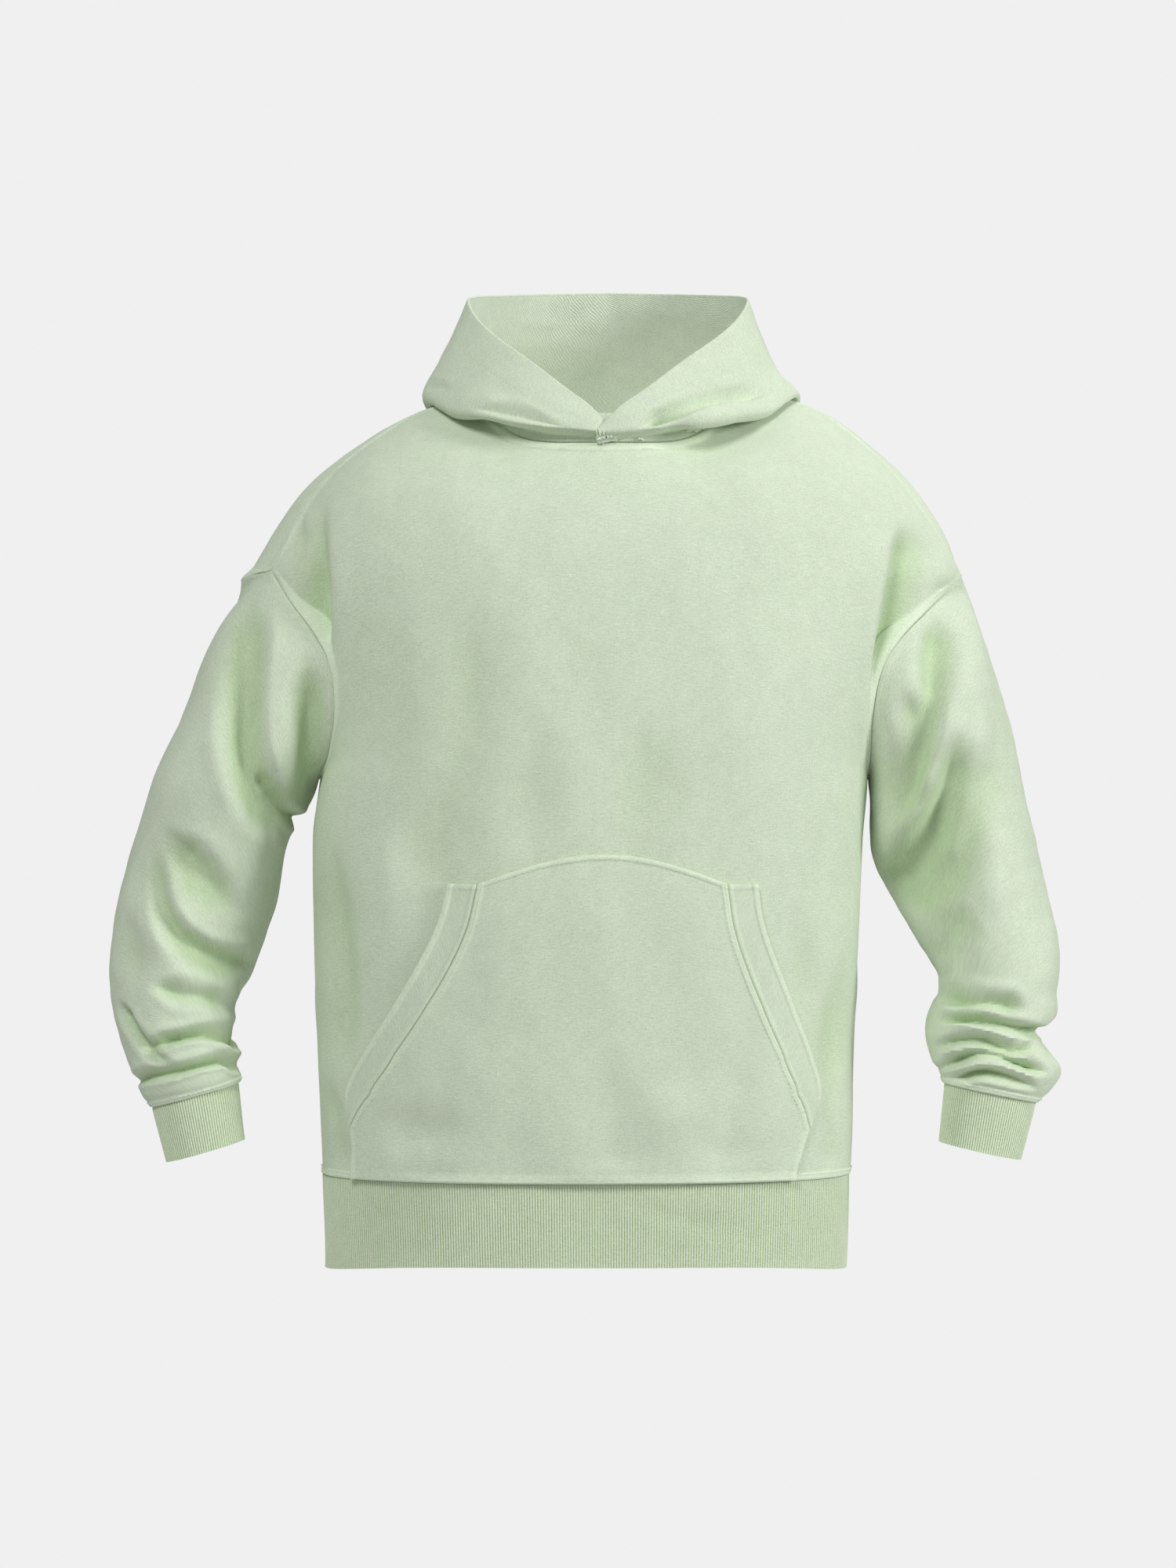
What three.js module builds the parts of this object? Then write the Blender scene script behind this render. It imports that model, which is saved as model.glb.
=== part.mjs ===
// Pullover hoodie, filled out as if worn and hollow: every piece is a wall of cloth.
// Millimetres, +Z up, the front towards -Y. The origin is the middle of the neck opening.
// Right and left are the wearer's own, so the right sleeve is at -X.
import * as THREE from "three";

// Cloth and seams
const BODY_CLOTH = 2.0;
const HOOD_CLOTH = 2.6;
const RIB_CLOTH = 2.2;
const RIB_PITCH = 2.2;
const RIB_HEIGHT = 0.6;
const SEAM_GAP = 0.3;
const POCKET_LIFT = 1.4;

// Heights on the body
const HEM_SEAM_Z = -634;
const HEM_BOTTOM_Z = -702;
const UNDERARM_Z = -302;
const SHOULDER_TIP_Z = -134;
const FRONT_NECK_Z = -31;
const BACK_NECK_Z = -4;

// How finely each piece is cut into cells
const SIDE_ROWS = 11;
const ARM_ROWS = 10;
const SHOULDER_ROWS = 6;
const FRONT_COLUMNS = 11;
const BACK_COLUMNS = 9;
const UPPER_SLEEVE_ROWS = 12;
const WRIST_ROWS = 12;
const HOOD_COLUMNS = 14;
const HOOD_ROWS = 14;
const INNER_RIB_COLUMNS = 48;
const FINE = 96;
const NOTCH_COSINE = 0.6;
const SIDE_BIAS = 1.2;

// Level slices of the body: the middle line's x, the half width at the side seam,
// how far the front and back stand from the middle, how square the slice is, and how late
// it rises towards its seam.
const BODY = [
  { z: -702, middle: -16, half: 218, front: 113, back: 109, square: 2.4, rise: 2 },
  { z: -634, middle: -16, half: 220, front: 117, back: 112, square: 2.4, rise: 2 },
  { z: -590, middle: -16, half: 222, front: 122, back: 116, square: 2.4, rise: 2 },
  { z: -540, middle: -16, half: 224, front: 126, back: 118, square: 2.4, rise: 2 },
  { z: -440, middle: -16, half: 227.5, front: 131, back: 121, square: 2.4, rise: 2 },
  { z: -360, middle: -14.5, half: 229.5, front: 135, back: 125, square: 2.5, rise: 2 },
  { z: -302, middle: -9, half: 229, front: 137, back: 128, square: 2.5, rise: 2 },
  { z: -217, middle: -1, half: 224, front: 135, back: 131, square: 2.5, rise: 2 },
  { z: -134, middle: 0, half: 240, front: 127, back: 125, square: 2.4, rise: 2 },
  { z: -90, middle: 0, half: 242, front: 117, back: 114, square: 2.3, rise: 2.3 },
  { z: -60, middle: 0, half: 242, front: 106, back: 103, square: 2.2, rise: 3 },
  { z: -31, middle: 0, half: 242, front: 89, back: 86, square: 2.1, rise: 5 },
  { z: -4, middle: 0, half: 242, front: 89, back: 62, square: 2.1, rise: 2.5 },
];

// Armhole seams from the shoulder tip down the front to the underarm, and on up the back.
const ARMHOLE = {
  right: {
    front: [
      { x: -276, y: -28, z: -132 },
      { x: -259, y: -50, z: -160 },
      { x: -240, y: -64, z: -186 },
      { x: -226, y: -70, z: -212 },
      { x: -222, y: -64, z: -246 },
      { x: -228, y: -38, z: -284 },
      { x: -238, y: 2, z: -302 },
    ],
    back: [
      { x: -276, y: -28, z: -132 },
      { x: -304, y: 6, z: -139 },
      { x: -300, y: 36, z: -148 },
      { x: -284, y: 62, z: -170 },
      { x: -264, y: 77, z: -208 },
      { x: -250, y: 70, z: -250 },
      { x: -242, y: 40, z: -286 },
      { x: -238, y: 2, z: -302 },
    ],
  },
  left: {
    front: [
      { x: 297, y: -8, z: -136 },
      { x: 280, y: -36, z: -152 },
      { x: 262, y: -56, z: -170 },
      { x: 243, y: -68, z: -190 },
      { x: 228, y: -72, z: -214 },
      { x: 220, y: -64, z: -250 },
      { x: 219, y: -38, z: -286 },
      { x: 220, y: 2, z: -302 },
    ],
    back: [
      { x: 297, y: -8, z: -136 },
      { x: 300, y: 22, z: -143 },
      { x: 285, y: 54, z: -166 },
      { x: 258, y: 76, z: -206 },
      { x: 242, y: 70, z: -250 },
      { x: 226, y: 40, z: -286 },
      { x: 220, y: 2, z: -302 },
    ],
  },
};

// Shoulder seams from the tip to the neck point, and how far the back swells past the seam.
const SHOULDER = {
  right: [
    { x: -276, y: -28, z: -132, swell: 3 },
    { x: -263, y: -30, z: -107, swell: 20 },
    { x: -243, y: -30, z: -71, swell: 17 },
    { x: -214, y: -27, z: -40, swell: 13 },
    { x: -176, y: -21, z: -12, swell: 12 },
    { x: -146, y: -15, z: 3, swell: 8 },
    { x: -104, y: -6, z: 14, swell: 0 },
  ],
  left: [
    { x: 297, y: -8, z: -136, swell: 8 },
    { x: 280, y: -9, z: -108, swell: 13 },
    { x: 260, y: -10, z: -77, swell: 16 },
    { x: 226, y: -10, z: -36, swell: 14 },
    { x: 182, y: -9, z: -1, swell: 8 },
    { x: 148, y: -8, z: 11, swell: 4 },
    { x: 104, y: -6, z: 15, swell: 0 },
  ],
};

// Rings of the sleeves below the armhole: the outermost and innermost points as the front
// view shows them, the ring's middle in y, and its half depth.
const SLEEVE = {
  right: [
    { outX: -321, outZ: -172, inX: -245, inZ: -321, midY: 3, deep: 80 },
    { outX: -345, outZ: -231, inX: -254, inZ: -335, midY: 6, deep: 84 },
    { outX: -361, outZ: -270, inX: -264, inZ: -350, midY: 9, deep: 84 },
    { outX: -380, outZ: -310, inX: -270, inZ: -369, midY: 12, deep: 82 },
    { outX: -391, outZ: -342, inX: -273, inZ: -391, midY: 14, deep: 80 },
    { outX: -401, outZ: -375, inX: -276, inZ: -408, midY: 15, deep: 78 },
    { outX: -409, outZ: -411, inX: -283, inZ: -431, midY: 12, deep: 75 },
    { outX: -412, outZ: -441, inX: -290, inZ: -452, midY: 6, deep: 71 },
    { outX: -413, outZ: -467, inX: -298, inZ: -471, midY: -2, deep: 66 },
    { outX: -410, outZ: -493, inX: -307, inZ: -486, midY: -10, deep: 60 },
    { outX: -404, outZ: -516, inX: -310, inZ: -506, midY: -18, deep: 54 },
    { outX: -397, outZ: -537, inX: -304, inZ: -523, midY: -24, deep: 49 },
    { outX: -390, outZ: -553, inX: -302, inZ: -539, midY: -29, deep: 44 },
    { outX: -384, outZ: -567, inX: -302, inZ: -551, midY: -33, deep: 38 },
    { outX: -375, outZ: -577, inX: -304, inZ: -557, midY: -35, deep: 30 },
  ],
  left: [
    { outX: 313, outZ: -172, inX: 222, inZ: -327, midY: 3, deep: 80 },
    { outX: 326, outZ: -214, inX: 222, inZ: -349, midY: 6, deep: 84 },
    { outX: 337, outZ: -252, inX: 224, inZ: -368, midY: 9, deep: 84 },
    { outX: 346, outZ: -288, inX: 229, inZ: -381, midY: 12, deep: 82 },
    { outX: 353, outZ: -321, inX: 237, inZ: -396, midY: 14, deep: 80 },
    { outX: 360, outZ: -350, inX: 245, inZ: -410, midY: 15, deep: 78 },
    { outX: 366, outZ: -380, inX: 253, inZ: -425, midY: 13, deep: 75 },
    { outX: 373, outZ: -410, inX: 262, inZ: -441, midY: 9, deep: 72 },
    { outX: 379, outZ: -436, inX: 271, inZ: -456, midY: 3, deep: 68 },
    { outX: 380, outZ: -460, inX: 279, inZ: -472, midY: -5, deep: 63 },
    { outX: 376, outZ: -482, inX: 275, inZ: -487, midY: -13, deep: 58 },
    { outX: 375, outZ: -502, inX: 268, inZ: -503, midY: -20, deep: 53 },
    { outX: 361, outZ: -519, inX: 266, inZ: -517, midY: -26, deep: 48 },
    { outX: 378, outZ: -545, inX: 270, inZ: -536, midY: -31, deep: 42 },
    { outX: 370, outZ: -562, inX: 277, inZ: -549, midY: -34, deep: 36 },
    { outX: 357, outZ: -573, inX: 281, inZ: -557, midY: -35, deep: 30 },
  ],
};

// The lowest ring of each cuff, with the sleeves' columns; its top is the sleeve's last ring.
const CUFF = {
  right: { outX: -363, outZ: -622, inX: -298, inZ: -603.5, midY: -41, deep: 28 },
  left: { outX: 344, outZ: -620, inX: 276, inZ: -605, midY: -41, deep: 28 },
};

// Hood, by share of the way from the centre front to the centre back: how far the roll
// reaches out from the neck seam, how far it hangs below it, how far it stands out above
// the roll as a share of the reach, and the rim.
const HOOD = [
  { u: 0, reach: 10, sag: -3, bulge: 0.08, rimX: 0, rimY: -99, rimZ: -14 },
  { u: 0.1, reach: 15, sag: -5, bulge: 0.08, rimX: 19, rimY: -93, rimZ: 4 },
  { u: 0.2, reach: 22, sag: -6, bulge: 0.06, rimX: 40, rimY: -81, rimZ: 20 },
  { u: 0.3, reach: 30, sag: 0, bulge: 0, rimX: 66, rimY: -62, rimZ: 40 },
  { u: 0.4, reach: 41, sag: 8, bulge: -0.05, rimX: 92, rimY: -40, rimZ: 60 },
  { u: 0.5, reach: 50, sag: 9, bulge: -0.07, rimX: 109, rimY: -20, rimZ: 77 },
  { u: 0.6, reach: 60, sag: 16, bulge: -0.07, rimX: 118, rimY: 2, rimZ: 93 },
  { u: 0.7, reach: 76, sag: 44, bulge: -0.02, rimX: 115, rimY: 30, rimZ: 101 },
  { u: 0.8, reach: 92, sag: 92, bulge: 0.06, rimX: 94, rimY: 62, rimZ: 106 },
  { u: 0.9, reach: 101, sag: 118, bulge: 0.08, rimX: 53, rimY: 88, rimZ: 110 },
  { u: 1, reach: 104, sag: 126, bulge: 0.08, rimX: 0, rimY: 98, rimZ: 112 },
];
const HOOD_LEAN = 0.11;
const HOOD_BULGE_LEAN = 0.12;
const HOOD_SHIFT = 4;
const HOOD_LIFT = 0.6;
const HOOD_STAND = 8;
const HOOD_OVERLAP = 6;
const HOOD_LAP_STEP = 5;
const HOOD_LAP_SPAN = 0.14;
const HOOD_CLEARANCE = 2.6;
const HOOD_REST_SPAN = 70;

// Kangaroo pocket: its middle line's x by height, and the half width of its outer edge.
const POCKET_MIDDLE = [
  { z: -634, x: -29 },
  { z: -563, x: -18 },
  { z: -470, x: -7 },
  { z: -366, x: -1 },
];
const POCKET_EDGE = [
  { z: -634, half: 187 },
  { z: -600, half: 193 },
  { z: -563, half: 202 },
  { z: -530, half: 187 },
  { z: -490, half: 164 },
  { z: -450, half: 143 },
  { z: -420, half: 131 },
  { z: -390, half: 125 },
];
const POCKET_TOP_Z = -390;
const POCKET_ARC_RISE = 24;
const POCKET_CORNER_Z = -563;
const POCKET_BOTTOM_Z = -633;
const FACING_WIDTH = 24;
const FACING_END_Z = -592;
const POCKET_COLUMNS = 20;
const POCKET_LOW_ROWS = 2;
const FACING_ROWS = 9;

// Largest folds: a soft trough (depth below 0) or ridge along a line that the front or back
// view shows, from one end to the other, with its half width.
const BODY_FOLDS = [
  { face: "front", x0: -222, z0: -60, x1: -236, z1: -190, wide: 12, depth: -9 },
  { face: "front", x0: 236, z0: -70, x1: 232, z1: -200, wide: 14, depth: -8 },
  { face: "front", x0: -150, z0: -430, x1: -200, z1: -600, wide: 26, depth: -6 },
  { face: "front", x0: 200, z0: -440, x1: 194, z1: -620, wide: 20, depth: -8 },
  { face: "front", x0: -60, z0: -200, x1: -130, z1: -420, wide: 45, depth: 4 },
  { face: "back", x0: -150, z0: -180, x1: -60, z1: -420, wide: 30, depth: -7 },
  { face: "back", x0: 165, z0: -170, x1: 60, z1: -440, wide: 28, depth: -7 },
  { face: "back", x0: -190, z0: -420, x1: -120, z1: -610, wide: 24, depth: -6 },
];
const SLEEVE_FOLDS = {
  right: [
    { face: "front", x0: -300, z0: -150, x1: -318, z1: -330, wide: 12, depth: -8 },
    { face: "front", x0: -258, z0: -190, x1: -285, z1: -330, wide: 12, depth: -7 },
    { face: "front", x0: -374, z0: -350, x1: -306, z1: -425, wide: 13, depth: -9 },
    { face: "front", x0: -376, z0: -390, x1: -300, z1: -464, wide: 11, depth: -9 },
    { face: "front", x0: -385, z0: -526, x1: -308, z1: -516, wide: 7, depth: -9 },
    { face: "front", x0: -400, z0: -500, x1: -350, z1: -542, wide: 7, depth: -6 },
    { face: "front", x0: -392, z0: -557, x1: -306, z1: -541, wide: 6, depth: -8 },
    { face: "back", x0: -330, z0: -220, x1: -280, z1: -360, wide: 16, depth: -9 },
    { face: "back", x0: -404, z0: -400, x1: -290, z1: -440, wide: 14, depth: -9 },
    { face: "back", x0: -400, z0: -455, x1: -300, z1: -490, wide: 10, depth: -8 },
    { face: "back", x0: -400, z0: -512, x1: -308, z1: -518, wide: 8, depth: -9 },
    { face: "back", x0: -390, z0: -553, x1: -306, z1: -543, wide: 6, depth: -8 },
  ],
  left: [
    { face: "front", x0: 272, z0: -190, x1: 262, z1: -330, wide: 13, depth: -8 },
    { face: "front", x0: 318, z0: -240, x1: 270, z1: -400, wide: 15, depth: -9 },
    { face: "front", x0: 285, z0: -494, x1: 345, z1: -496, wide: 8, depth: -10 },
    { face: "front", x0: 284, z0: -520, x1: 366, z1: -526, wide: 6, depth: -9 },
    { face: "front", x0: 284, z0: -545, x1: 330, z1: -534, wide: 6, depth: -8 },
    { face: "front", x0: 326, z0: -551, x1: 366, z1: -546, wide: 5, depth: -8 },
    { face: "back", x0: 330, z0: -220, x1: 262, z1: -370, wide: 16, depth: -9 },
    { face: "back", x0: 366, z0: -400, x1: 272, z1: -445, wide: 14, depth: -9 },
    { face: "back", x0: 372, z0: -462, x1: 278, z1: -484, wide: 10, depth: -8 },
    { face: "back", x0: 370, z0: -508, x1: 276, z1: -512, wide: 8, depth: -9 },
    { face: "back", x0: 370, z0: -545, x1: 280, z1: -538, wide: 6, depth: -8 },
  ],
};

const COLOURS = { cloth: 0xc3d2b6, rib: 0xbccbac };
const SIDES = { right: -1, left: 1 };

// Smooth value of every column of a table at a place along its key column.
function along(rows, key, at) {
  const rising = rows[0][key] < rows[rows.length - 1][key] ? 1 : -1;
  let i = 0;
  while (i < rows.length - 2 && (at - rows[i + 1][key]) * rising > 0) i++;
  const [a, b] = [rows[i], rows[i + 1]];
  const [before, after] = [rows[i - 1] ?? a, rows[i + 2] ?? b];
  const step = b[key] - a[key];
  const t = THREE.MathUtils.clamp((at - a[key]) / step, 0, 1);
  const made = {};
  for (const name of Object.keys(a)) {
    if (typeof a[name] !== "number") continue;
    const slopeA = ((b[name] - before[name]) / (b[key] - before[key])) * step;
    const slopeB = ((after[name] - a[name]) / (after[key] - a[key])) * step;
    const [t2, t3] = [t * t, t * t * t];
    made[name] =
      a[name] * (2 * t3 - 3 * t2 + 1) +
      slopeA * (t3 - 2 * t2 + t) +
      b[name] * (3 * t2 - 2 * t3) +
      slopeB * (t3 - t2);
  }
  return made;
}

// The same, keyed by the row's own number.
function atRow(rows, at) {
  return along(
    rows.map((row, number) => ({ ...row, number })),
    "number",
    at,
  );
}

const vectorOf = ({ x, y, z }) => new THREE.Vector3(x, y, z);
const copyOf = (point) => point.clone();

// Points the same distance apart along a line of points, or closer towards its end.
function evenly(points, count, bias = 1) {
  const reach = [0];
  for (let i = 1; i < points.length; i++) {
    reach.push(reach[i - 1] + points[i].distanceTo(points[i - 1]));
  }
  const total = reach[reach.length - 1];
  const made = [];
  let i = 1;
  for (let k = 0; k <= count; k++) {
    const want = total * (1 - (1 - k / count) ** bias);
    while (i < points.length - 1 && reach[i] < want) i++;
    const share = (want - reach[i - 1]) / (reach[i] - reach[i - 1]);
    made.push(points[i - 1].clone().lerp(points[i], THREE.MathUtils.clamp(share, 0, 1)));
  }
  return made;
}

// A quarter slice from the centre line to a seam: a superellipse widest at y = 0, cut off
// where the seam lies and drawn over to it, that may swell past a seam on its far side.
function quarter(centre, edge, { half, square, rise }, swell = { x: 0, z: 0 }) {
  const swellSpan = 75;
  const side = Math.sign(edge.x - centre.x);
  const cut = THREE.MathUtils.clamp(edge.y / centre.y, 0, 0.95);
  const lastAngle = Math.acos(cut ** (square / 2));
  const widest = Math.sin(lastAngle) ** (2 / square);
  const reach = Math.min(half, Math.abs(edge.x - centre.x) / widest);
  const beyondX = edge.x - centre.x - side * reach * widest;
  const beyondY = edge.y - centre.y * cut;
  const points = [];
  for (let k = 0; k <= FINE; k++) {
    const angle = (k / FINE) * lastAngle;
    const wide = Math.sin(angle) ** (2 / square);
    const across = wide / widest;
    const y = centre.y * Math.abs(Math.cos(angle)) ** (2 / square) + beyondY * across ** 6;
    const swollen = Math.sin(Math.PI * Math.min(1, Math.abs(y - edge.y) / swellSpan));
    points.push(
      new THREE.Vector3(
        centre.x + side * reach * wide + beyondX * across ** 4 + swell.x * swollen,
        y,
        centre.z + (edge.z - centre.z) * across ** rise + swell.z * swollen,
      ),
    );
  }
  points[FINE].set(edge.x, edge.y, edge.z);
  return points;
}

// How far a point is pushed out by the folds of its face, as the front or back view shows them.
function foldDepth(folds, face, x, z) {
  let depth = 0;
  for (const fold of folds) {
    if (fold.face !== face) continue;
    const [dx, dz] = [fold.x1 - fold.x0, fold.z1 - fold.z0];
    const share = ((x - fold.x0) * dx + (z - fold.z0) * dz) / (dx * dx + dz * dz);
    const held = THREE.MathUtils.clamp(share, 0, 1);
    const away = Math.hypot(x - fold.x0 - dx * held, z - fold.z0 - dz * held);
    const ends = Math.sin(Math.PI * THREE.MathUtils.clamp(held * 0.8 + 0.1, 0, 1));
    depth += fold.depth * ends * Math.exp(-((away / fold.wide) ** 2));
  }
  return depth;
}

// The rows of the body panels from the hem seam to the neck: what kind each is, and where
// its seam ends lie on each side.
function bodyRows(face) {
  const rows = [];
  for (let k = 0; k < SIDE_ROWS; k++) {
    const z = THREE.MathUtils.lerp(HEM_SEAM_Z, UNDERARM_Z, k / SIDE_ROWS);
    const { middle, half } = along(BODY, "z", z);
    const edges = {};
    for (const [name, side] of Object.entries(SIDES)) {
      edges[name] = { x: middle + side * half, y: 0, z };
    }
    rows.push({ z, edges });
  }
  const seams = {};
  for (const name of Object.keys(SIDES)) {
    const curve = new THREE.CatmullRomCurve3(ARMHOLE[name][face].map(vectorOf));
    seams[name] = evenly(curve.getPoints(FINE), ARM_ROWS).reverse();
  }
  for (let k = 0; k < ARM_ROWS; k++) {
    const [right, left] = [seams.right[k], seams.left[k]];
    const z = THREE.MathUtils.lerp(UNDERARM_Z, SHOULDER_TIP_Z, k / ARM_ROWS);
    rows.push({ z, edges: { right, left } });
  }
  const neckZ = face === "front" ? FRONT_NECK_Z : BACK_NECK_Z;
  for (let k = 0; k <= SHOULDER_ROWS; k++) {
    const share = k / SHOULDER_ROWS;
    const edges = {};
    for (const [name, side] of Object.entries(SIDES)) {
      const place = share * (SHOULDER[name].length - 1);
      const [here, before, after] = [0, -0.5, 0.5].map((step) => atRow(SHOULDER[name], place + step));
      const [runX, runZ] = [after.x - before.x, after.z - before.z];
      const size = (face === "back" ? here.swell : 0) / Math.hypot(runX, runZ);
      edges[name] = { ...here, swell: { x: side * runZ * size, z: -side * runX * size } };
    }
    rows.push({ z: THREE.MathUtils.lerp(SHOULDER_TIP_Z, neckZ, share), edges });
  }
  return rows;
}

// One panel of the body as a grid of points, from the right seam to the left seam.
function bodyGrid(face, columns) {
  const toward = face === "front" ? -1 : 1;
  return bodyRows(face).map((row) => {
    const slice = along(BODY, "z", row.z);
    const centre = new THREE.Vector3(slice.middle, toward * slice[face], row.z);
    const halves = Object.keys(SIDES).map((name) => {
      const edge = row.edges[name];
      return evenly(quarter(centre, edge, slice, edge.swell), columns, SIDE_BIAS);
    });
    const points = [...halves[0].reverse(), ...halves[1].slice(1)];
    const last = points.length - 1;
    return points.map((point, i) => {
      const inside = Math.sin((Math.PI * i) / last) ** 0.5;
      const push = foldDepth(BODY_FOLDS, face, point.x, point.z) * inside;
      return point.setY(point.y + toward * push);
    });
  });
}

// A closed ring round an arm, starting on the outside and going over the front.
function ring(row, count, square = 2.1) {
  const out = new THREE.Vector3(row.outX, row.midY, row.outZ);
  const inner = new THREE.Vector3(row.inX, row.midY, row.inZ);
  const middle = out.clone().lerp(inner, 0.5);
  const points = [];
  for (let k = 0; k < count; k++) {
    const angle = (2 * Math.PI * k) / count;
    const [c, s] = [Math.cos(angle), Math.sin(angle)];
    const across = Math.sign(c) * Math.abs(c) ** (2 / square);
    const front = Math.sign(s) * Math.abs(s) ** (2 / square);
    const point = middle.clone().lerp(out, across);
    points.push(point.setY(point.y - row.deep * front));
  }
  return points;
}

// A sleeve as rings of points; the first ring is the armhole seam of the body panels.
function sleeveGrid(name, front, back) {
  const column = name === "right" ? 0 : -1;
  const armRows = [SIDE_ROWS, SIDE_ROWS + ARM_ROWS];
  const down = front.slice(armRows[0], armRows[1] + 1).map((row) => row.at(column));
  const up = back.slice(armRows[0], armRows[1] + 1).map((row) => row.at(column));
  const seam = [...down.reverse(), ...up.slice(1, -1)];
  const table = SLEEVE[name];
  const wrist = 8;
  const places = [];
  for (let k = 1; k <= UPPER_SLEEVE_ROWS; k++) {
    places.push(THREE.MathUtils.lerp(-1, wrist, k / UPPER_SLEEVE_ROWS));
  }
  const rest = table.length - 1 - wrist;
  for (let k = 1; k <= WRIST_ROWS; k++) places.push(wrist + (rest * k) / WRIST_ROWS);
  const [first, second] = [0, 1].map((place) => ring(table[place], seam.length));
  const cap = (share) =>
    seam.map((point, i) => {
      const curve = new THREE.CatmullRomCurve3([
        point.clone().multiplyScalar(2).sub(first[i]),
        point,
        first[i],
        second[i],
      ]);
      return curve.getPoint((1 + share) / 3);
    });
  const rings = places.map((place) => {
    const points = place < 0 ? cap(place + 1) : ring(atRow(table, place), seam.length);
    return points.map((point, i) => {
      const turn = Math.sin((2 * Math.PI * i) / seam.length);
      const face = turn > 0 ? "front" : "back";
      const fade = Math.min(1, (place + 1) * 0.6, (table.length - 1 - place) * 1.5);
      const push = foldDepth(SLEEVE_FOLDS[name], face, point.x, point.z) * fade;
      const middle = points.reduce((sum, p) => sum.add(p), new THREE.Vector3());
      const outward = point.clone().sub(middle.divideScalar(points.length)).setZ(0).normalize();
      return point.clone().addScaledVector(outward, push * Math.abs(turn) ** 0.4);
    });
  });
  return [seam.map((point) => point.clone()), ...rings];
}

// Half of the hood, from the centre front to the centre back, each row from neck seam to rim.
function hoodGrid(name, front, back) {
  const side = SIDES[name];
  const neck = [];
  const frontRow = front.at(-1);
  const backRow = back.at(-1);
  const middleOf = (row) => (row.length - 1) / 2;
  for (let k = middleOf(frontRow); k >= 0; k--) neck.push(frontRow[side < 0 ? k : frontRow.length - 1 - k]);
  for (let k = 1; k <= middleOf(backRow); k++) neck.push(backRow[side < 0 ? k : backRow.length - 1 - k]);
  const line = evenly(neck, FINE);
  const grid = [];
  for (let i = 0; i <= HOOD_COLUMNS; i++) {
    const u = i / HOOD_COLUMNS;
    const row = along(HOOD, "u", u);
    row.reach *= 1 + side * HOOD_LEAN * Math.sin(Math.PI * u);
    if (side < 0) row.bulge += HOOD_BULGE_LEAN * Math.sin(Math.PI * u);
    const seam = line[Math.round(u * FINE)].clone();
    const out = new THREE.Vector3(seam.x, seam.y + 13, 0).normalize();
    if (i === HOOD_COLUMNS) out.set(0, 1, 0);
    seam.z += HOOD_LIFT;
    const rim = new THREE.Vector3(side * row.rimX + HOOD_SHIFT * u, row.rimY, row.rimZ);
    const at = (reach, z) => seam.clone().addScaledVector(out, reach).setZ(z);
    const low = seam.z - row.sag;
    const outer = at(row.reach, low + 0.3 * (rim.z - low) * Math.min(1, row.sag / 150 + 0.35));
    const upper = outer.clone().lerp(rim, 0.4 + 1.2 * row.bulge).addScaledVector(out, row.bulge * row.reach);
    const stand = Math.min(HOOD_STAND, 0.3 * row.reach);
    const curve = new THREE.CatmullRomCurve3(
      [
        seam,
        at(0.02 * row.reach, seam.z + stand),
        at(0.45 * row.reach, THREE.MathUtils.lerp(seam.z + stand, low, 0.45)),
        at(0.8 * row.reach, low),
        outer,
        upper,
        rim,
      ],
      false,
      "centripetal",
    );
    grid.push(
      evenly(curve.getPoints(FINE), HOOD_ROWS).map((point) => {
        point.x -= side * lapShare(u) * HOOD_OVERLAP;
        return point;
      }),
    );
  }
  return grid;
}

// How far a hood column takes part in the lap at the centre front.
const lapShare = (u) => Math.max(0, 1 - u / HOOD_LAP_SPAN);

// The move that brings a point clear of the faces it lies on, or none if it is clear.
function liftFrom(faces, point, clearance) {
  const nearest = new THREE.Vector3();
  const away = new THREE.Vector3();
  let least = HOOD_REST_SPAN;
  let lift = null;
  for (const { corners, out } of faces) {
    corners.closestPointToPoint(point, nearest);
    away.subVectors(point, nearest);
    const gap = away.length();
    if (gap > least - 1e-6) continue;
    least = gap;
    const height = away.dot(out);
    lift = height < clearance ? out.clone().multiplyScalar(clearance - height) : null;
  }
  return lift;
}

// Lifts the hood off the shoulders and back that it lies on, and one half over the other.
function settleHoods(halves, body) {
  for (const { grid } of [...halves, ...halves]) {
    for (const point of grid.flatMap((row) => row.slice(1))) {
      const lift = liftFrom(body, point, HOOD_CLEARANCE);
      if (lift) point.add(lift);
    }
  }
  for (const { grid } of [...halves, ...halves]) {
    for (let i = 1; i < grid.length; i++) {
      for (let j = 2; j < grid[i].length; j++) {
        const corners = [grid[i - 1][j - 1], grid[i - 1][j], grid[i][j - 1], grid[i][j]];
        for (const [a, b] of [[0, 1], [0, 2], [0, 3], [1, 2], [1, 3], [2, 3]]) {
          const middle = corners[a].clone().lerp(corners[b], 0.5);
          const lift = liftFrom(body, middle, HOOD_CLEARANCE / 2);
          if (lift) corners.forEach((point) => point.add(lift));
        }
      }
    }
  }
  for (const half of halves) {
    if (half.side > 0) half.grid.forEach((row) => row.reverse());
  }
  const upper = halves.find(({ side }) => side > 0);
  const out = normalsOf([upper])[0];
  upper.grid.forEach((row, i) => {
    row.forEach((point, j) => {
      point.addScaledVector(out[i * row.length + j], HOOD_LAP_STEP * lapShare(i / HOOD_COLUMNS));
    });
  });
}

// The outer faces of some pieces as triangles with their outward directions.
function facesOf(pieces) {
  const made = [];
  for (const { grid, closed } of pieces) {
    const points = grid.flat();
    cells(grid.length, grid[0].length, closed, (a, b, c) => {
      const corners = new THREE.Triangle(points[a], points[b], points[c]);
      made.push({ corners, out: corners.getNormal(new THREE.Vector3()) });
    });
  }
  return made;
}

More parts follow.
